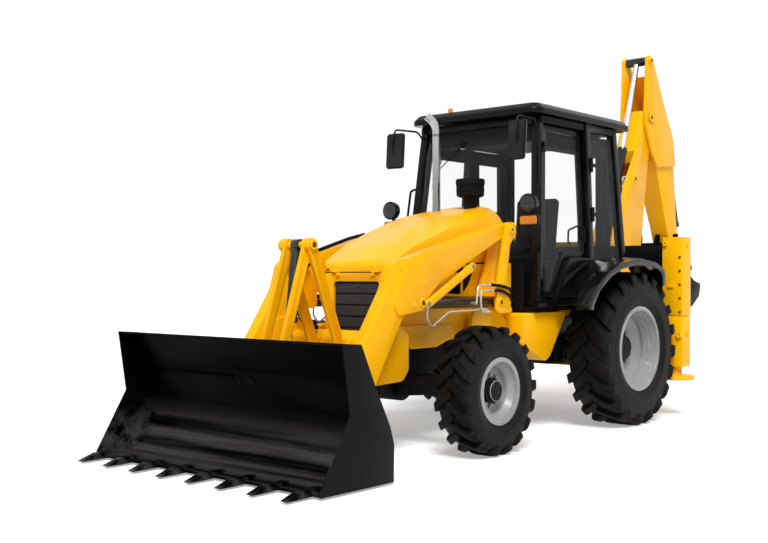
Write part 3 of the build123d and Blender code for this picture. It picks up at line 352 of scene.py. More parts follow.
# The link ears end flush with the inside of the loader bucket's back, whose (y, z) profile is cut clear.
CAVITY = [(-1591.5, 722), (-1553.5, 640), (-1531.5, 558), (-1700, 558), (-1700, 722)]
CAVITY_HALF = 1100
cutter_mesh = bpy.data.meshes.new("cavity")
cutter_walls = [(k, k + 5, (k + 1) % 5 + 5, (k + 1) % 5) for k in range(5)]
cutter_mesh.from_pydata([at(x, y, z) for x in (-CAVITY_HALF, CAVITY_HALF) for y, z in CAVITY], [],
                        [(0, 1, 2, 3, 4), (9, 8, 7, 6, 5)] + cutter_walls)
cavity = placed("cavity", cutter_mesh)
softened("loader_bucket", 3, bucket_black, without=cavity)
bpy.data.objects.remove(cavity)
for name, width, finish in (
    ("cab_frame", 5, black_enamel), ("cab_roof", 8, black_enamel), ("door_left", 4, black_enamel),
    ("door_right", 4, black_enamel), ("hoe_bucket", 3, bucket_black),
    ("fenders", 4, fender_gloss), ("front_axle", 6, cast_black), ("seat_base", 6, floor_mat),
):
    softened(name, width, finish)
paint(black_enamel, "mirrors_lamps", "steps", "hoe_tip_lever", "hoe_tip_link")
paint(cast_black, "rear_axle", "knuckle_left", "knuckle_right", "engine")
paint(floor_mat, "cab_floor")

# ------------------------------------------------------------------ chassis and rear frame
# The rails under the engine are black, and so is the welded frame behind the cab that the hoe slides on,
# out to the yellow stabiliser sleeves.
frame_black = plain_coat("frame_black", tint(17, 17, 18), tint(11, 11, 12), 0.45, 0.15)
softened("chassis_frame", 5, frame_black)
softened("hoe_frame", 5, frame_black)

# ------------------------------------------------------------------ nose and grille
# A moulded grey grille of horizontal bars sits in the nose, with one round latch knob at its top. Yellow
# panels close the sides of the engine under the hood, each with a three-cornered hand hole whose shade is
# painted by a black sheet, and a thin black strip paints the shade in the gap along the hood's edge.
SHARP = 0.5             # radians between two faces
BEND_STEPS = 6


def skinned(mesh, rings):
    """Faces from each ring of corners to the next."""
    for one, two in zip(rings, rings[1:]):
        for k in range(len(one)):
            n = (k + 1) % len(one)
            mesh.faces.new((one[k], one[n], two[n], two[k]))


class Shape:
    """A piece being built, in millimetres from the middle of the front axle on the floor."""

    def __init__(self):
        self.mesh = bmesh.new()

    def eased(self, verts, soft, steps=2):
        """Bevel the sharp edges at these corners."""
        if soft:
            edges = {e for v in verts for e in v.link_edges
                     if len(e.link_faces) == 2 and e.calc_face_angle(0) > SHARP}
            bmesh.ops.bevel(self.mesh, geom=list(edges), offset=soft, segments=steps, affect="EDGES",
                            clamp_overlap=True)

    def block(self, x, y, z, soft=2.0, turn=None):
        """A box between (low, high) spans, with eased edges, turned about its own middle."""
        size = Vector((x[1] - x[0], y[1] - y[0], z[1] - z[0]))
        middle = Vector((x[0] + x[1], y[0] + y[1], z[0] + z[1])) / 2
        place = Matrix.Translation(middle) @ (turn or Matrix()) @ Matrix.Diagonal((*size, 1))
        self.eased(bmesh.ops.create_cube(self.mesh, size=1, matrix=place)["verts"], soft)

    def rod(self, start, end, r, tip=None, sides=24, soft=0.0):
        """A round bar from start to end, tapering to tip."""
        a, b = Vector(start), Vector(end)
        turn = (b - a).to_track_quat("Z", "Y").to_matrix().to_4x4()
        place = Matrix.Translation((a + b) / 2) @ turn
        made = bmesh.ops.create_cone(self.mesh, cap_ends=True, segments=sides, radius1=r,
                                     radius2=r if tip is None else tip, depth=(b - a).length,
                                     matrix=place)["verts"]
        self.eased(made, soft)

    def turned(self, middle, profile, sides=48, axis="X"):
        """A ring or disc turned about an axis through middle, from (along, radius) corners."""
        rings = []
        for step in range(sides):
            a = tau * step / sides
            ring = []
            for along, r in profile:
                spot = [r * cos(a), r * sin(a)]
                spot.insert("XYZ".index(axis), along)
                ring.append(self.mesh.verts.new(Vector(middle) + Vector(spot)))
            rings.append(ring)
        skinned(self.mesh, rings + rings[:1])
        flat = [v for ring in rings for v in ring]
        bmesh.ops.remove_doubles(self.mesh, verts=flat, dist=0.01)

    def sheet(self, corners, x0, x1, soft=0.0):
        """A plate from a (y, z) outline, thick from x0 to x1."""
        base = [self.mesh.verts.new((x0, y, z)) for y, z in corners]
        face = self.mesh.faces.new(base)
        grown = bmesh.ops.extrude_face_region(self.mesh, geom=[face])["geom"]
        top = [v for v in grown if isinstance(v, bmesh.types.BMVert)]
        bmesh.ops.translate(self.mesh, verts=top, vec=(x1 - x0, 0, 0))
        self.eased(base + top, soft)

    def pipe(self, points, r, bend=40.0, sides=12):
        """A round tube along straight runs, with bent corners."""
        path = [Vector(points[0])]
        for before, corner, after in zip(points, points[1:], points[2:]):
            a, c, b = Vector(before), Vector(corner), Vector(after)
            reach = min(bend, (a - c).length * 0.48, (b - c).length * 0.48)
            one, two = c + (a - c).normalized() * reach, c + (b - c).normalized() * reach
            for k in range(BEND_STEPS + 1):
                t = k / BEND_STEPS
                path.append(one * (1 - t) ** 2 + c * (2 * t * (1 - t)) + two * t * t)
        path.append(Vector(points[-1]))
        side = None
        rings = []
        for k, spot in enumerate(path):
            run = (path[min(k + 1, len(path) - 1)] - path[max(k - 1, 0)]).normalized()
            if side is None:
                side = run.orthogonal().normalized()
            side = (side - run * side.dot(run)).normalized()
            other = run.cross(side)
            turns = [tau * j / sides for j in range(sides)]
            rings.append([self.mesh.verts.new(spot + side * r * cos(a) + other * r * sin(a)) for a in turns])
        skinned(self.mesh, rings)
        self.mesh.faces.new(rings[0][::-1])
        self.mesh.faces.new(rings[-1])

    def mirrored(self):
        """Add the same again on the machine's other side."""
        everything = self.mesh.verts[:] + self.mesh.edges[:] + self.mesh.faces[:]
        copy = bmesh.ops.duplicate(self.mesh, geom=everything)["geom"]
        for v in copy:
            if isinstance(v, bmesh.types.BMVert):
                v.co.x = -v.co.x
        bmesh.ops.reverse_faces(self.mesh, faces=[f for f in copy if isinstance(f, bmesh.types.BMFace)])

    def put(self, name, finish, body="machine", slot="black_paint", stands_for=(), smooth=38):
        """Place the piece on its body. A piece that bends between bodies has none."""
        bmesh.ops.recalc_face_normals(self.mesh, faces=self.mesh.faces)
        data = bpy.data.meshes.new(name)
        self.mesh.to_mesh(data)
        self.mesh.free()
        data.transform(FROM_AXLE)
        coat(data, finish, smooth)
        piece = placed(name, data)
        if body:
            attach(piece, body)
        if stands_for:
            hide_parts(*stands_for)
        return piece


NOSE_Y = -425.0
PANEL_X = 440.0
NOSE_END = 380                          # where the nose has reached its full width
NOSE_TAPER = (PANEL_X - 365) / (NOSE_END - NOSE_Y)
BARS, BAR_PITCH, BAR_FOOT = 5, 89, 852
grille_grey = plain_coat("grille_grey", tint(58, 60, 63), tint(48, 50, 52), 0.5, 0.05)
grille = Shape()
grille.block((-258, 258), (NOSE_Y + 34, NOSE_Y + 42), (846, 1314), 1)
for row in range(BARS):
    z = BAR_FOOT + row * BAR_PITCH
    grille.block((-236, 236), (NOSE_Y + 15, NOSE_Y + 34), (z, z + 78), 5)
    for rib in range(3):
        grille.block((-232, 232), (NOSE_Y + 12.5, NOSE_Y + 16), (z + 16 + rib * 21, z + 19 + rib * 21), 0.8)
grille.turned((0, NOSE_Y + 13, 1262), [(0, 0.01), (0, 15), (-9, 13), (-11, 0.01)], 20, "Y")
grille.put("grille_bars", grille_grey, "machine", "grille_grey", ("grille",))

shadow_black = plain_coat("shadow_black", tint(12, 12, 12), tint(8, 8, 8), 0.7, 0.0)
# painted shade: a black sheet on each side panel stands for the shade inside its three-cornered hand hole
hole_shade = Shape()
hole_shade.sheet([(376, 1212), (376, 1352), (500, 1362), (436, 1262)], PANEL_X + 0.5, PANEL_X + 2.5)
hole_shade.mirrored()
hole_shade.put("side_hand_hole_shade", shadow_black, "machine", "fender_plastic")

sides = Shape()
sides.sheet([(383, 846), (780, 846), (905, 1040), (985, 1100), (985, 1452), (383, 1432)],
            PANEL_X - 7, PANEL_X, 2)
skirt = len(sides.mesh.verts)
sides.sheet([(-418, 906), (-281, 784), (30, 784), (352, 880), (378, 900), (378, 960), (-418, 960)],
            PANEL_X - 12, PANEL_X - 7)
sides.mesh.verts.ensure_lookup_table()
for v in sides.mesh.verts[skirt:]:
    v.co.x += (v.co.y - NOSE_END) * NOSE_TAPER
sides.mirrored()
# painted shade: a thin black strip along the hood's edge stands for the shade in the gap there
SEAM_Z, SEAM_R = 1370.5, 3.4
seam = Shape()
seam.block((-326, 326), (NOSE_Y - 1.5, NOSE_Y + 5), (SEAM_Z - 3.5, SEAM_Z + 3.5), 1)
for sign in (-1, 1):
    seam.rod((sign * 330, NOSE_Y + 3, SEAM_Z), (sign * 362, NOSE_Y + 40, SEAM_Z), SEAM_R)
for sign in (1, -1):
    seam.rod((sign * 364, NOSE_Y + 44, SEAM_Z), (sign * 436, 330, SEAM_Z), SEAM_R)
seam.put("hood_gap_shade", shadow_black, "machine", "fender_plastic", smooth=60)
sides.put("engine_side_panels", yellow_enamel, "machine", "yellow_paint")

# ------------------------------------------------------------------ wheels
# Pressed steel rims in silver enamel carry tubeless tyres: a smooth casing with moulded rings on its
# side, and thick slanting lugs that alternate about the middle and run down the shoulders.
WHEELBASE = 2180
# tyre radius, distance out, and along from the front axle
FRONT_PLACE = (484, 937, 0)
REAR_PLACE = (690, 900, WHEELBASE)
silver_enamel = plain_coat("silver_enamel", tint(150, 150, 152), tint(130, 130, 132), 0.3, 0.12, 0.4)
hub_black = plain_coat("hub_black", tint(20, 20, 20), tint(13, 13, 13), 0.5, 0.15)
side_rubber = plain_coat("side_rubber", tint(22, 21, 21), tint(15, 14, 14), 0.55, 0.08)
lug_rubber = plain_coat("lug_rubber", tint(11, 10, 10), tint(6, 6, 6), 0.6, 0.07)


def tree_with(name, **inputs):
    """A geometry tree with these inputs, each of a socket type, and its input node."""
    made = bpy.data.node_groups.new(name, "GeometryNodeTree")
    for label, kind in inputs.items():
        made.interface.new_socket(label, in_out="INPUT", socket_type="NodeSocket" + kind)
    made.interface.new_socket("Result", in_out="OUTPUT", socket_type="NodeSocketGeometry")
    return made, made.nodes.new("NodeGroupInput")


def wired(tree, kind, settings=None, **links):
    """A node in a geometry tree, its inputs linked to sockets or set to values. Returns the node."""
    made = tree.nodes.new(kind)
    for key, value in (settings or {}).items():
        setattr(made, key, value)
    for key, value in links.items():
        numbered = key[0] == "i" and key[1:].isdigit()
        socket = made.inputs[int(key[1:]) if numbered else key.replace("_", " ")]
        if isinstance(value, bpy.types.NodeSocket):
            tree.links.new(value, socket)
        else:
            socket.default_value = value
    return made


def copied(tree, points, part, turn, finish):
    """The tree's result: the part at each point, as one mesh with a finish."""
    copies = wired(tree, "GeometryNodeInstanceOnPoints",
                   Points=points, Instance=part, Rotation=turn.outputs[0])
    real = wired(tree, "GeometryNodeRealizeInstances", Geometry=copies.outputs[0])
    coated = wired(tree, "GeometryNodeSetMaterial", Geometry=real.outputs[0], Material=finish)
    tree.links.new(coated.outputs[0], tree.nodes.new("NodeGroupOutput").inputs[0])


ring_tree, given = tree_with("turned_about_axle", Part="Geometry", Copies="Int", Rubber="Material")
row = wired(ring_tree, "GeometryNodeMeshLine", Count=given.outputs["Copies"], Offset=(0, 0, 0))
step = wired(ring_tree, "ShaderNodeMath", {"operation": "DIVIDE"}, i0=tau, i1=given.outputs["Copies"])
count = ring_tree.nodes.new("GeometryNodeInputIndex")
angle = wired(ring_tree, "ShaderNodeMath", {"operation": "MULTIPLY"}, i0=step.outputs[0], i1=count.outputs[0])
about_axle = wired(ring_tree, "ShaderNodeCombineXYZ", X=angle.outputs[0])
copied(ring_tree, row.outputs[0], given.outputs["Part"], about_axle, given.outputs["Rubber"])


def grown(start, tree, name, finish, values, place, body, slot):
    """Run a geometry tree on a mesh, then place the plain mesh it gives on its body."""
    piece = placed(name, start)
    grow = piece.modifiers.new("grow", "NODES")
    grow.node_group = tree
    for item in tree.interface.items_tree:
        if item.in_out == "INPUT" and item.name in values:
            grow[item.identifier] = values[item.name]
    data = settled(piece)
    data.transform(place)
    coat(data, finish, 36)
    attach(piece, body)


def lug(stations):
    """One lug from (casing x, casing radius, top x, top radius, degrees back, half width) stations."""
    made = bmesh.new()
    rows = []
    for x, r, top_x, top_r, back, wide in stations:
        a = radians(back)
        low, high = (wide + 5) / r, wide / top_r
        rows.append([made.verts.new((px, -pr * sin(a + turn), pr * cos(a + turn)))
                     for px, pr, turn in ((x, r, -low), (top_x, top_r, -high),
                                          (top_x, top_r, high), (x, r, low))])
    skinned(made, rows)
    made.faces.new(rows[0][::-1])
    made.faces.new(rows[-1])
    return made


FRONT_LUG = [(-18, 440, -15, 484, -1.5, 26), (34, 440, 34, 484, 3, 27), (84, 437, 90, 484, 8, 30),
             (112, 430, 124, 480, 10.5, 34), (132, 420, 147, 462, 12.5, 34), (138, 404, 153, 440, 13, 32),
             (142, 396, 150, 412, 13.2, 28)]
REAR_LUG = [(-20, 644, -17, 690, -1.5, 34), (52, 644, 54, 690, 4, 36), (118, 640, 126, 690, 9, 40),
            (160, 630, 178, 686, 12, 44), (186, 612, 206, 662, 14, 44), (196, 592, 213, 630, 14.6, 40),
            (202, 578, 210, 594, 15, 34)]
# half of each casing's section, as (along the axle, radius) from the bead to the tread
FRONT_CASING = [(118, 231), (119, 256), (131, 262), (134, 280), (145, 308), (149, 316), (147, 320),
                (151, 345), (148, 354), (149, 380), (143, 408), (128, 430), (98, 440), (40, 445)]
REAR_CASING = [(170, 358), (171, 384), (184, 392), (190, 410), (200, 440), (206, 448), (203, 453), (208, 490),
               (204, 500), (206, 540), (201, 590), (182, 626), (135, 642), (50, 650)]
# end, place, pairs of lugs, casing, lug
TYRES = (
    ("front", FRONT_PLACE, 18, FRONT_CASING, FRONT_LUG),
    ("rear", REAR_PLACE, 20, REAR_CASING, REAR_LUG),
)
for end, (radius, out, along), pairs, casing, stations in TYRES:
    for side, sign in SIDES:
        body = f"{end}_wheel_{side}"
        shape = Shape()
        shape.turned((sign * out, along, radius), casing + [(-x, r) for x, r in casing[::-1]], 96)
        shape.put(f"{end}_casing_{side}", side_rubber, body, "tyre_rubber", (f"{end}_tyre_{side}",), 30)
        pair = lug(stations)
        across = Matrix.Rotation(pi / pairs, 4, "X") @ Matrix.Scale(-1, 4, (1, 0, 0))
        bmesh.ops.transform(pair, matrix=across, verts=pair.verts)
        other = bpy.data.meshes.new("other_lug")
        pair.to_mesh(other)
        pair = lug(stations)
        pair.from_mesh(other)
        bmesh.ops.recalc_face_normals(pair, faces=pair.faces)
        bmesh.ops.bevel(pair, geom=pair.edges[:], offset=3.0, segments=1, affect="EDGES", clamp_overlap=True)
        start = bpy.data.meshes.new("lug_pair")
        pair.to_mesh(start)
        centre = FROM_AXLE @ Matrix.Translation((sign * out, along, radius))
        grown(start, ring_tree, f"{end}_lugs_{side}", lug_rubber, {"Copies": pairs, "Rubber": lug_rubber},
              centre, body, "tyre_rubber")
        softened(f"{end}_rim_{side}", 3, silver_enamel)

# ------------------------------------------------------------------ bolts and pin caps
# Every flange is held by hexagon bolts, and every hinge pin ends in a turned cap with one keeper bolt.
# Bolts are zinc plated, and caps and bosses are painted with the arm that carries them.
bolt_tree, given = tree_with("bolts_on_points",
                             Places="Geometry", Across="Float", Tall="Float", Plating="Material")
half = wired(bolt_tree, "ShaderNodeMath", {"operation": "MULTIPLY"}, i0=given.outputs["Across"], i1=0.5)
head = wired(bolt_tree, "GeometryNodeMeshCylinder",
             Vertices=6, Radius=half.outputs[0], Depth=given.outputs["Tall"])
washer = wired(bolt_tree, "GeometryNodeMeshCylinder",
               Vertices=12, Radius=given.outputs["Across"], Depth=0.003)
smaller = wired(bolt_tree, "GeometryNodeTransform", Geometry=washer.outputs[0], Scale=(0.7, 0.7, 1))
joined = wired(bolt_tree, "GeometryNodeJoinGeometry", Geometry=head.outputs[0])
bolt_tree.links.new(smaller.outputs[0], joined.inputs[0])
facing = wired(bolt_tree, "GeometryNodeInputNamedAttribute", {"data_type": "FLOAT_VECTOR"}, Name="facing")
aimed = wired(bolt_tree, "FunctionNodeAlignRotationToVector", {"axis": "Z"}, Vector=facing.outputs[0])
copied(bolt_tree, given.outputs["Places"], joined.outputs[0], aimed, given.outputs["Plating"])

barrel_black = plain_coat("barrel_black", tint(15, 15, 16), tint(9, 9, 10), 0.24, 0.05, 0.5)


def metal(name, per_metre, light, dark, metallic, rough, spread, coarse=0.55, stretch=(1, 1, 1)):
    """Plated or bare metal, patchy in colour and in shine."""
    made = Finish(name)
    patchy = made.cloud(per_metre, 3.0, coarse, stretch)
    return made.coated(Base_Color=made.blend(patchy, light, dark), Metallic=metallic,
                       Roughness=rough + patchy * spread)


zinc = metal("zinc", 30, tint(170, 168, 160), tint(120, 118, 112), 0.8, 0.35, 0.2)
dark_zinc = metal("dark_zinc", 40, tint(92, 78, 44), tint(58, 50, 34), 0.5, 0.4, 0.2)


def bolts(name, places, across, tall, finish, body, slot):
    """Bolt heads at (x, y, z) places in millimetres, each with the direction it faces."""
    start = bpy.data.meshes.new(name)
    start.from_pydata([at(*spot) for spot, _ in places], [], [])
    start.attributes.new("facing", "FLOAT_VECTOR", "POINT")
    start.attributes["facing"].data.foreach_set("vector", [c for _, way in places for c in way])
    grown(start, bolt_tree, name, finish, {"Across": across * 0.001, "Tall": tall * 0.001, "Plating": finish},
          Matrix(), body, slot)


WHEEL_BOLTS = 10
RIDGE_R, RIDGE_SIDES = 6, 8
# end, place, disc face, hub radius, bolt circle, pressed ridges (radius, along the axle)
DISCS = (
    ("front", FRONT_PLACE, 27, 96, 116, ((196, 62), (208, 84))),
    ("rear", REAR_PLACE, -23, 122, 158, ((306, 52), (322, 96), (336, 132))),
)
for end, (high, out, along), face, wide, circle, ridges in DISCS:
    for side, sign in SIDES:
        ring = []
        for k in range(WHEEL_BOLTS):
            a = tau * k / WHEEL_BOLTS
            ring.append(((sign * (out + face + 8), along + circle * sin(a), high + circle * cos(a)),
                         (sign, 0, 0)))
        bolts(f"{end}_bolts_{side}", ring, 26, 20, zinc, f"{end}_wheel_{side}", "silver_paint")
        hub = Shape()
        inner = face + 28
        hub.turned((sign * out, along, high), [(sign * (inner + x), r) for x, r in (
            (-24, wide), (2, wide), (6, wide - 5), (8, wide - 14), (30, wide - 17), (36, wide - 23), (37, 30),
            (41, 28), (41, 0.01), (-24, 0.01))], 40)
        pressed = Shape()
        for r, reach in ridges:
            turns = [tau * k / RIDGE_SIDES for k in range(RIDGE_SIDES)]
            pressed.turned((sign * out, along, high),
                           [(sign * (reach + RIDGE_R * cos(a)), r + RIDGE_R * sin(a)) for a in turns], 72)
        pressed.put(f"{end}_rim_ridges_{side}", silver_enamel, f"{end}_wheel_{side}", "silver_paint",
                    smooth=80)
        hub.put(f"{end}_hub_cap_{side}", hub_black, f"{end}_wheel_{side}", "black_paint")

YELLOW, BLACK = (yellow_enamel, "yellow_paint"), (bucket_black, "black_paint")
# name, y, z, outermost x, radius, body, finish and slot, one on each side
CAPS = (
    ("arm_pivot", 760, 1724, 650, 40, "machine", *YELLOW),
    ("lift_base", 607, 1131, 650, 30, "machine", *YELLOW),
    ("lift_eye", -385, 1141, 634, 36, "loader_arms", *YELLOW),
    ("bucket_pin", -1235, 265, 660, 34, "loader_bucket", *BLACK),
    ("lever_top", -1060, 1568, 163, 40, "tilt_lever", *YELLOW),
    ("lever_pin", -735, 760, 181, 38, "loader_arms", *YELLOW),
    ("dipper_pin", 4229, 3088, 170, 50, "hoe_boom", *YELLOW),
    ("boom_eye", 3935, 2394, 125, 40, "hoe_boom", *YELLOW),
    ("dipper_ram_eye", 4225, 3715, 168, 36, "hoe_dipper", *YELLOW),
    ("hoe_pin", 5130, 1190, 140, 38, "hoe_bucket", *BLACK),
)
for name, y, z, x, r, body, finish, slot in CAPS:
    cap = Shape()
    cap.turned((x, y, z),
               [(-8, r), (5, r), (8, r - 3), (8, r * 0.55), (5, r * 0.5), (5, 0.01), (-8, 0.01)], 28)
    cap.mirrored()
    cap.put("cap_" + name, finish, body, slot)
    keepers = [((sign * (x + 9), y, z), (sign, 0, 0)) for sign in (1, -1)]
    bolts("keeper_" + name, keepers, 26, 9, dark_zinc, body, "steel_tube")

# body, name, then outermost x, y, z and radius of plain bosses welded to both side plates
BOSSES = (
    ("loader_arms", "arm", ((638, -478, 1128, 24), (636, -352, 1292, 26), (624, -620, 1400, 15),
                            (624, -1160, 330, 15))),
    ("hoe_boom", "boom", ((124, 3705, 1715, 34), (124, 4085, 2120, 22))),
    ("hoe_dipper", "dipper", ((158, 4262, 3560, 20), (158, 4470, 2960, 24), (158, 4700, 2700, 18))),
)
for body, name, rows in BOSSES:
    boss = Shape()
    for x, y, z, r in rows:
        boss.turned((x, y, z), [(-16, r), (-2, r), (1, r - 3), (1, 0.01), (-16, 0.01)], 24)
    boss.mirrored()
    boss.put(f"{name}_bosses", yellow_enamel, body, "yellow_paint")
SLEEVE_FRONT = 2897         # y of the sleeves' front faces
sleeve_fit = Shape()
for x, z, r in ((976, 1650, 26), (975, 780, 30), (1116, 780, 30)):
    sleeve_fit.turned((x, SLEEVE_FRONT, z), [(10, r), (-10, r), (-14, r - 4), (-14, r * 0.45), (-8, r * 0.45),
                                             (-8, 0.01), (10, 0.01)], 24, "Y")
for z in (800, 1640):
    sleeve_fit.turned((1152, 2992, z),
                      [(-6, 22), (9, 22), (12, 18), (12, 9), (6, 9), (6, 0.01), (-6, 0.01)], 24)
sleeve_fit.block((1000, 1060), (SLEEVE_FRONT - 8, SLEEVE_FRONT + 9), (1230, 1262), 3)
sleeve_fit.mirrored()
sleeve_fit.put("sleeve_fittings", yellow_enamel, "machine", "yellow_paint")
wear_pad_bolts = [((sign * 1120, SLEEVE_FRONT + 3, z), (0, -1, 0))
                  for sign in (1, -1) for z in range(1000, 1521, 130)]
bolts("sleeve_bolts", wear_pad_bolts, 17, 8, dark_zinc, "machine", "steel_tube")
strut_ends = [((661, y, z), (1, 0, 0)) for y, z in ((-338, 1134), (222, 1416))]
bolts("strut_pins", strut_ends, 30, 14, zinc, "loader_arms", "steel_tube")
hood_front = [((sign * 300, NOSE_Y - 1, 1392), (0, -1, 0)) for sign in (1, -1)]
bolts("hood_bolts", hood_front, 15, 6, dark_zinc, "hood", "steel_tube")
rod_sleeve = Shape()
rod_sleeve.turned((0, 4225, 3715),
                  [(-116, 46.5), (-112, 47.5), (112, 47.5), (116, 46.5), (116, 40), (-116, 40)], 40)
rod_sleeve.put("dipper_rod_sleeve", barrel_black, frame["nodes"]["dipper_rod"]["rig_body"], "black_paint")

# ------------------------------------------------------------------ rams and their pipes
# Barrels are black enamelled tube with turned glands, rods are hard chrome. The loader's rams carry two
# plated steel pipes each, joined to the machine by rubber hoses that flex at the barrel's base pin. The
# bucket's own lines run along the arm and down to its cross tube.
hard_chrome = metal("hard_chrome", 3, tint(226, 227, 230), tint(200, 201, 204), 1.0, 0.1, 0.1,
                    0.6, (1, 1, 12))
plated_pipe = metal("plated_pipe", 25, tint(214, 212, 204), tint(176, 172, 160), 0.7, 0.26, 0.2)
hose_rubber = plain_coat("hose_rubber", tint(18, 18, 18), tint(12, 12, 12), 0.55, 0.05)
for name in ("tilt_barrel", "lift_barrels", "boom_barrel", "dipper_barrel", "crowd_barrel"):
    softened(name, 3, barrel_black)
paint(hard_chrome, "tilt_rod", "lift_rods", "boom_rod", "dipper_rod", "crowd_rod")

PIPE_X = 664             # just outside the tower's outer plate
PIPE_R, LINE_R = 9, 13   # steel pipes and rubber hoses
UPPER_PIPE = [(PIPE_X, 250, 1120), (PIPE_X, 262, 1232), (PIPE_X, 283, 1266), (PIPE_X, 403, 1272)]
LOWER_PIPE = [(PIPE_X, 433, 1056), (PIPE_X, 318, 1062), (PIPE_X, 306, 1160), (PIPE_X, 312, 1222),
              (PIPE_X, 449, 1228)]
pipes = Shape()
pipes.pipe(UPPER_PIPE, PIPE_R, 26)
pipes.pipe(LOWER_PIPE, PIPE_R, 26)
pipes.pipe([(598, -285, 1100), (598, -293, 1020), (598, -231, 955), (598, -23, 1066), (598, 297, 1072),
            (640, 390, 1080), (PIPE_X, 433, 1056)], 8, 30)
for y, z in ((403, 1272), (449, 1228)):
    pipes.rod((PIPE_X, y - 4, z), (PIPE_X, y + 34, z - 1), 15, sides=6, soft=2)
pipes.rod((570, 250, 1131), (PIPE_X + 5, 250, 1125), 12, sides=6, soft=2)
pipes.block((560, 604), (-310, -262), (1096, 1110), 3)
pipes.mirrored()
pipes.put("ram_pipes", plated_pipe, "lift_barrels", "steel_tube")
for side, sign in SIDES:
    for place, y, z, end_z in (("upper", 436, 1271, 1236), ("lower", 482, 1227, 1180)):
        hose = Shape()
        inner = sign * (PIPE_X - 7)
        hose.pipe([(sign * PIPE_X, y, z), (sign * PIPE_X, y + 130, z - 6), (inner, 720, end_z + 6),
                   (sign * 560, 900, end_z - 40)], LINE_R, 90)
        piece = hose.put(f"ram_hose_{place}_{side}", hose_rubber, None, "fender_plastic")
        at(sign * PIPE_X, y + 60, z)
        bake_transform(piece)

arm_line = Shape()
arm_line.pipe([(-560, -420, 1505), (-572, -230, 1562), (-572, 127, 1664), (-560, 300, 1700)], 15, 60)
arm_line.put("arm_top_pipe", hose_rubber, "loader_arms", "black_paint")

lines = Shape()
for k in range(3):
    drop = 30 * k
    lines.pipe([(-486, -470 - drop * 0.6, 1424), (-470, -600 - drop * 0.5, 1300),
                (-462 + drop * 0.4, -640, 1120), (-400 + drop, -616, 972),
                (-300 + drop, -600 - drop * 0.4, 944)], LINE_R, 90)
    lines.rod((-486, -452 - drop * 0.6, 1440), (-486, -474 - drop * 0.6, 1419), 19, sides=6, soft=2)
    lines.rod((-308 + drop, -600 - drop * 0.4, 945), (-284 + drop, -600 - drop * 0.4, 940), 18,
              sides=6, soft=2)
lines.put("cross_tube_hoses", hose_rubber, "loader_arms", "fender_plastic")

# ------------------------------------------------------------------ exhaust and air cleaner
# A polished stainless stack with a mitred top stands right of the hood, and a black air cleaner with a
# pressed cap stands left of it. Both rise with the hood.
STACK_X, STACK_Y = -200, 850
CLEANER_X, CLEANER_Y, CLEANER_R = 110, 930, 117
CLEANER_RIBS = 24
steel = Finish("stack_steel")
brushed = steel.cloud(2, 4.0, 0.6, (18, 18, 1))
heat = steel.along("Z").rising(1.95, 2.6)
stack_steel = steel.coated(
    Base_Color=steel.blend(heat * 0.6 + brushed * 0.4, tint(128, 124, 120), tint(188, 189, 191)),
    Metallic=0.95, Roughness=0.16 + brushed * 0.16)
stack = Shape()
stack.turned((STACK_X, STACK_Y, 0), [(1896, 35), (2590, 35), (2590, 31), (1896, 31)], 32, "Z")
stack.pipe([(STACK_X, STACK_Y, 2570), (STACK_X, STACK_Y, 2640), (STACK_X - 22, STACK_Y - 22, 2706),
            (STACK_X - 62, STACK_Y - 62, 2752)], 35, 40, 32)
stack.turned((STACK_X, STACK_Y, 0), [(1893, 50), (1899, 52), (1907, 40), (1907, 34), (1893, 34)], 32, "Z")
stack.put("exhaust_stack", stack_steel, "hood", "steel_tube", ("hood_fittings",))
# painted shade: a black disc just inside the stack's mouth stands for the dark inside of the pipe
mouth_shade = Shape()
mouth_shade.rod((STACK_X - 62, STACK_Y - 62, 2750), (STACK_X - 63.4, STACK_Y - 63.4, 2753.2), 30, sides=24)
mouth_shade.put("stack_mouth", shadow_black, "hood", "steel_tube")
cleaner = Shape()
cleaner.turned((CLEANER_X, CLEANER_Y, 0), [
    (1905, 56), (1990, 58), (2020, 76), (2028, 104), (2036, 118), (2052, 122), (2056, 116), (2128, 118),
    (2134, 126), (2172, 127), (2182, 118), (2186, 40), (2194, 36), (2195, 0.01), (1905, 0.01)], 48, "Z")
for k in range(CLEANER_RIBS):
    a = tau * k / CLEANER_RIBS
    x, y = CLEANER_X + CLEANER_R * cos(a), CLEANER_Y + CLEANER_R * sin(a)
    cleaner.block((x - 4, x + 4), (y - 4, y + 4), (2060, 2126), 1)
cleaner.put("air_cleaner", floor_mat, "hood", "black_paint")

# ------------------------------------------------------------------ cab glass, wiper and handles
# Tinted safety glass, with a wiper on the windscreen, a lever and a bent grab handle on each door, a rail
# on each front post and the rear quarter windows' hinges on the middle posts.
glazing = Finish("tinted_glass")
# painted reflection: the glass is coloured paler, and made less clear, at glancing angles
edge = glazing.node("ShaderNodeLayerWeight", None, {"Blend": 0.35}, out=1)
tinted_glass = glazing.coated(Base_Color=glazing.blend(edge, tint(150, 156, 158), tint(200, 204, 206)),
                              Roughness=0.03 + glazing.cloud(3) * 0.03, Alpha=0.015 + edge * 0.07)
paint(tinted_glass, "cab_glass", "door_glass_left", "door_glass_right")

POST_FOOT, POST_TALL = 1080, 1650
# (x, y) at the foot and at the top
FRONT_POST = ((700, 1060), (600, 1235))
MIDDLE_POST = ((715, 1930), (640, 1960))
HANDLE_Z = 1700


def post_line(low, high, z):
    """The (x, y) of a cab post's middle at height z."""
    t = (z - POST_FOOT) / POST_TALL
    return low[0] + (high[0] - low[0]) * t, low[1] + (high[1] - low[1]) * t


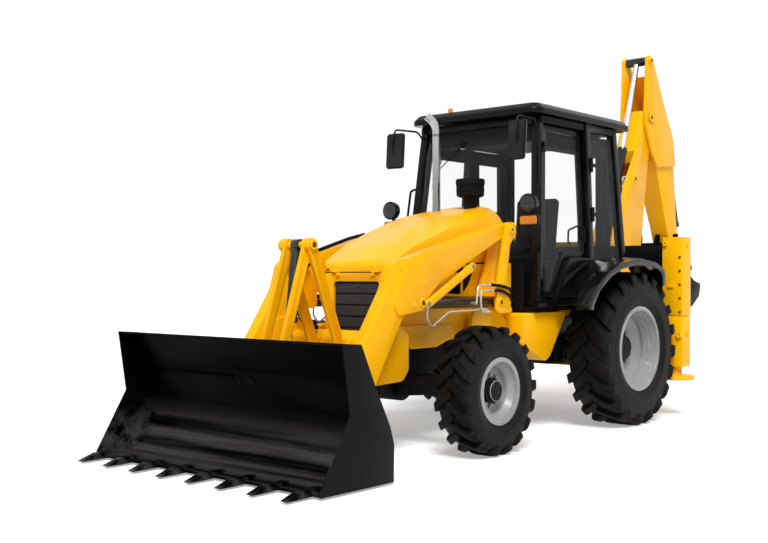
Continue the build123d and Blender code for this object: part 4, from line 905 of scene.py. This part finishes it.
wiper = Shape()
spindle, elbow = [(x, post_line(*FRONT_POST, z)[1] - 14, z) for x, z in ((-171, 2529), (-444, 2299))]
wiper.pipe([(spindle[0], spindle[1] + 14, spindle[2] + 30), spindle, elbow], 5, 10, 8)
wiper.pipe([(x, post_line(*FRONT_POST, z)[1] - 9, z) for x, z in ((-395, 2440), (-493, 2158))], 6, 5, 6)
wiper.block((-200, -142), (spindle[1] - 6, spindle[1] + 20), (2520, 2560), 6)
wiper.put("wiper", black_enamel)

for side, sign in SIDES:
    handle = Shape()
    x = post_line(*FRONT_POST, HANDLE_Z)[0] + 20
    y_rear = post_line(*MIDDLE_POST, HANDLE_Z)[1] - 100
    handle.block((x, x + 12) if sign > 0 else (-x - 12, -x), (y_rear - 60, y_rear + 30), (1690, 1790), 4)
    outer_x, inner_x = sign * (x + 34), sign * (x - 52)
    handle.pipe([(sign * (x + 8), y_rear - 10, 1770), (outer_x, y_rear - 12, 1768),
                 (outer_x, y_rear - 14, 1640)], 7, 14, 10)
    handle.pipe([(sign * (x - 22), y_rear - 150, 1622), (inner_x, y_rear - 150, 1640),
                 (inner_x, y_rear - 146, 1750), (inner_x, y_rear - 20, 1786),
                 (sign * (x - 22), y_rear - 6, 1788)], 9, 26, 10)
    handle.put(f"door_handle_{side}", floor_mat, f"door_{side}", "black_paint")
rails = Shape()
RAIL_FOOT, RAIL_TOP = 1560, 2150
low = post_line(*FRONT_POST, RAIL_FOOT)
high = post_line(*FRONT_POST, RAIL_TOP)
rails.pipe([(low[0] + 30, low[1] - 20, RAIL_FOOT), (low[0] + 72, low[1] - 60, RAIL_FOOT + 15),
            (high[0] + 72, high[1] - 60, RAIL_TOP - 15), (high[0] + 30, high[1] - 20, RAIL_TOP)], 11, 40)
rails.mirrored()
rails.put("grab_rails", black_enamel)
hinges = Shape()
for z in (1900, 2350):
    x, y = post_line(*MIDDLE_POST, z)
    hinges.block((x + 34, x + 46), (y + 4, y + 60), (z - 60, z + 60), 4)
    hinges.rod((x + 44, y + 34, z - 66), (x + 44, y + 34, z + 66), 12, sides=16, soft=2)
    hinges.block((x + 34, x + 44), (y + 60, y + 110), (z - 18, z + 18), 4)
hinges.mirrored()
hinges.put("quarter_hinges", black_enamel)

# ------------------------------------------------------------------ cab lining
# A moulded black headliner with a deep visor over the windscreen, trims beside the rear and middle posts
# and along the roof's sides. All of it is textured plastic.
lining_black = plain_coat("lining_black", tint(8, 8, 9), tint(5, 5, 6), 0.6, 0.0, 0.06)
lining = Shape()
lining.block((-560, 560), (1262, 2430), (2566, 2668), 24)
lining.block((-548, 548), (1236, 1300), (2508, 2600), 18)
lining.put("headliner", lining_black, "machine", "fender_plastic")
columns = Shape()
columns.block((488, 600), (2408, 2540), (1506, 2640), 22)
columns.block((560, 612), (1330, 2420), (2440, 2570), 14)
columns.block((556, 628), (1968, 2010), (1510, 2560), 12)
columns.mirrored()
columns.put("rear_columns", lining_black, "machine", "fender_plastic")

# ------------------------------------------------------------------ driver's seat
# A sprung seat with a squab and a leaning back, both of foam covered in dark cloth and swollen a little
# between their seams. They stand on the steel box behind the steering wheel.
covering = Finish("seat_cloth")
weave = covering.node("ShaderNodeTexWave", {"bands_direction": "DIAGONAL"},
                      {"Vector": covering.place(), "Scale": 160.0, "Distortion": 0.6})
worn = covering.cloud(5, 4.0)
seat_cloth = covering.coated(Base_Color=covering.blend(worn, tint(17, 17, 18), tint(10, 10, 11)),
                             Roughness=0.82 + worn * 0.1, Specular_IOR_Level=0.1,
                             Normal=covering.bump(weave, 0.06, 0.0006))
CLOTH_FRAMES = 20
CLOTH_VOXEL = 0.006         # metres
CLOTH_PRESSURE = 4
SWELL = 0.009               # metres that a cover may stand out


def stuffed(shape, name, stands_for=()):
    """A foam pad swollen by cloth pressure, with no point moved further than SWELL."""
    pad = shape.put(name, seat_cloth, "machine", "seat_cloth", stands_for, 180)
    even = pad.modifiers.new("even", "REMESH")
    even.mode = "VOXEL"
    even.voxel_size = CLOTH_VOXEL
    before = [v.co.copy() for v in settled(pad).vertices]
    swell = pad.modifiers.new("swell", "CLOTH")
    swell.settings.use_pressure = True
    swell.settings.uniform_pressure_force = CLOTH_PRESSURE
    swell.settings.effector_weights.gravity = 0
    for moment in range(1, CLOTH_FRAMES + 1):
        scene.frame_set(moment)
    after = pad.evaluated_get(bpy.context.evaluated_depsgraph_get()).to_mesh()
    moved = [v.co.copy() for v in after.vertices]
    pad.modifiers.clear()
    scene.frame_set(1)
    for v, old, new in zip(pad.data.vertices, before, moved):
        step = new - old
        v.co = old + step * min(1.0, SWELL / max(step.length, 1e-9))
    coat(pad.data, seat_cloth, 180)
    finer = pad.modifiers.new("finer", "SUBSURF")
    finer.levels = 1
    finer.render_levels = 1


squab = Shape()
squab.sheet([(1664, 1556), (2092, 1556), (2076, 1640), (1664, 1634)], -236, 236, 22)
stuffed(squab, "seat_squab", ("seat",))
back = Shape()
back.sheet([(2106, 1560), (2166, 1560), (2238, 2070), (2152, 2096), (2098, 1676)], -232, 232, 20)
stuffed(back, "seat_back")

# ------------------------------------------------------------------ lamps, mirrors and beacon
# Round headlamps and amber indicators stand on the cab's front corners, flat mirrors hang on bent arms
# with their backs to the front, and a small amber beacon sits on the roof's right front corner.
FLUTES = 700.0              # radians to the metre
amber = Finish("amber_lens")
flutes = amber.along("X").maths("SINE", amber.along("X") * FLUTES)
amber_lens = amber.coated(
    Base_Color=amber.blend(amber.cloud(20), tint(214, 132, 20), tint(188, 106, 12)),
    Roughness=0.14 + amber.cloud(9) * 0.06, Normal=amber.bump(flutes, 0.3, 0.001))
smoky = Finish("dark_lens")
dark_lens = smoky.coated(
    Base_Color=smoky.blend(smoky.cloud(14), tint(58, 58, 58), tint(38, 38, 39)),
    Roughness=0.10 + smoky.cloud(5) * 0.05, Metallic=0.5)
silvering = Finish("mirror_glass")
mirror_glass = silvering.coated(
    Base_Color=silvering.blend(silvering.cloud(4), tint(205, 210, 212), tint(190, 196, 198)),
    Metallic=1.0, Roughness=0.03 + silvering.cloud(30) * 0.02)
mirror_grey = plain_coat("mirror_grey", tint(40, 40, 41), tint(28, 28, 29), 0.45, 0.0)

# side, its sign, glass middle x, z, width, height
MIRRORS = (("left", 1, 613, 2482, 196, 340), ("right", -1, -715, 2487, 190, 326))
for side, sign, x, z, wide, tall in MIRRORS:
    turn = Matrix.Rotation(radians(sign * -8), 4, "Z") @ Matrix.Rotation(radians(-4), 4, "X")
    back = Shape()
    back.block((x - wide / 2, x + wide / 2), (884, 918), (z - tall / 2, z + tall / 2), 14, turn)
    back.rod((x + sign * 12, 892, z - 20), (x + sign * 12, 874, z - 20), 26, tip=15, sides=20, soft=3)
    stands_for = ("mirrors_lamps",) if sign > 0 else ()
    back.put(f"mirror_back_{side}", mirror_grey, stands_for=stands_for)
    face = Shape()
    face.block((x - wide / 2 + 10, x + wide / 2 - 10), (916, 921),
               (z - tall / 2 + 10, z + tall / 2 - 10), 1, turn)
    face.put(f"mirror_glass_{side}", mirror_glass)
    arm = Shape()
    arm.pipe([(x + sign * 12, 876, z - 20), (x + sign * 12, 866, z + 60),
              (x + sign * 5, 905, z + tall / 2 + 34), (sign * 640, 1130, z + tall / 2 + 30),
              (sign * 622, 1190, z + 120)], 9, 30)
    arm.put(f"mirror_arm_{side}", black_enamel)

LAMP_X, LAMP_Y, LAMP_Z = 745, 900, 1940
for side, sign in SIDES:
    x = sign * LAMP_X
    lamp = Shape()
    lamp.turned((x, LAMP_Y, LAMP_Z), [(-46, 0.01), (-46, 70), (-46, 82), (-38, 84), (-30, 82), (10, 78),
                                      (34, 58), (45, 24), (46, 0.01)], 36, "Y")
    lamp.block((x - 8, x + 8), (895, 912), (1835, 1870), 2)
    lamp.pipe([(x, 905, 1850), (sign * 720, 960, 1850), (sign * 680, 1050, 1850)], 14, 30)
    lamp.block((x - 84, x + 84), (878, 944), (1764, 1842), 8)
    lamp.put(f"headlamp_{side}", black_enamel)
    lens = Shape()
    lens.turned((x, LAMP_Y, LAMP_Z),
                [(-56, 0.01), (-55, 30), (-51, 56), (-46, 69), (-40, 70), (-40, 0.01)], 36, "Y")
    lens.put(f"headlamp_lens_{side}", dark_lens, "machine", "clear_glass")
    light = Shape()
    light.block((x - 80, x + 80), (860, 880), (1768, 1838), 7)
    light.put(f"indicator_{side}", amber_lens, "machine", "clear_glass")
beacon = Shape()
beacon.turned((-272, 1150, 0), [(2815, 30), (2824, 30), (2826, 24), (2852, 22), (2864, 14), (2867, 0.01),
                                (2815, 0.01)], 24, "Z")
beacon.put("beacon", amber_lens, "machine", "clear_glass")
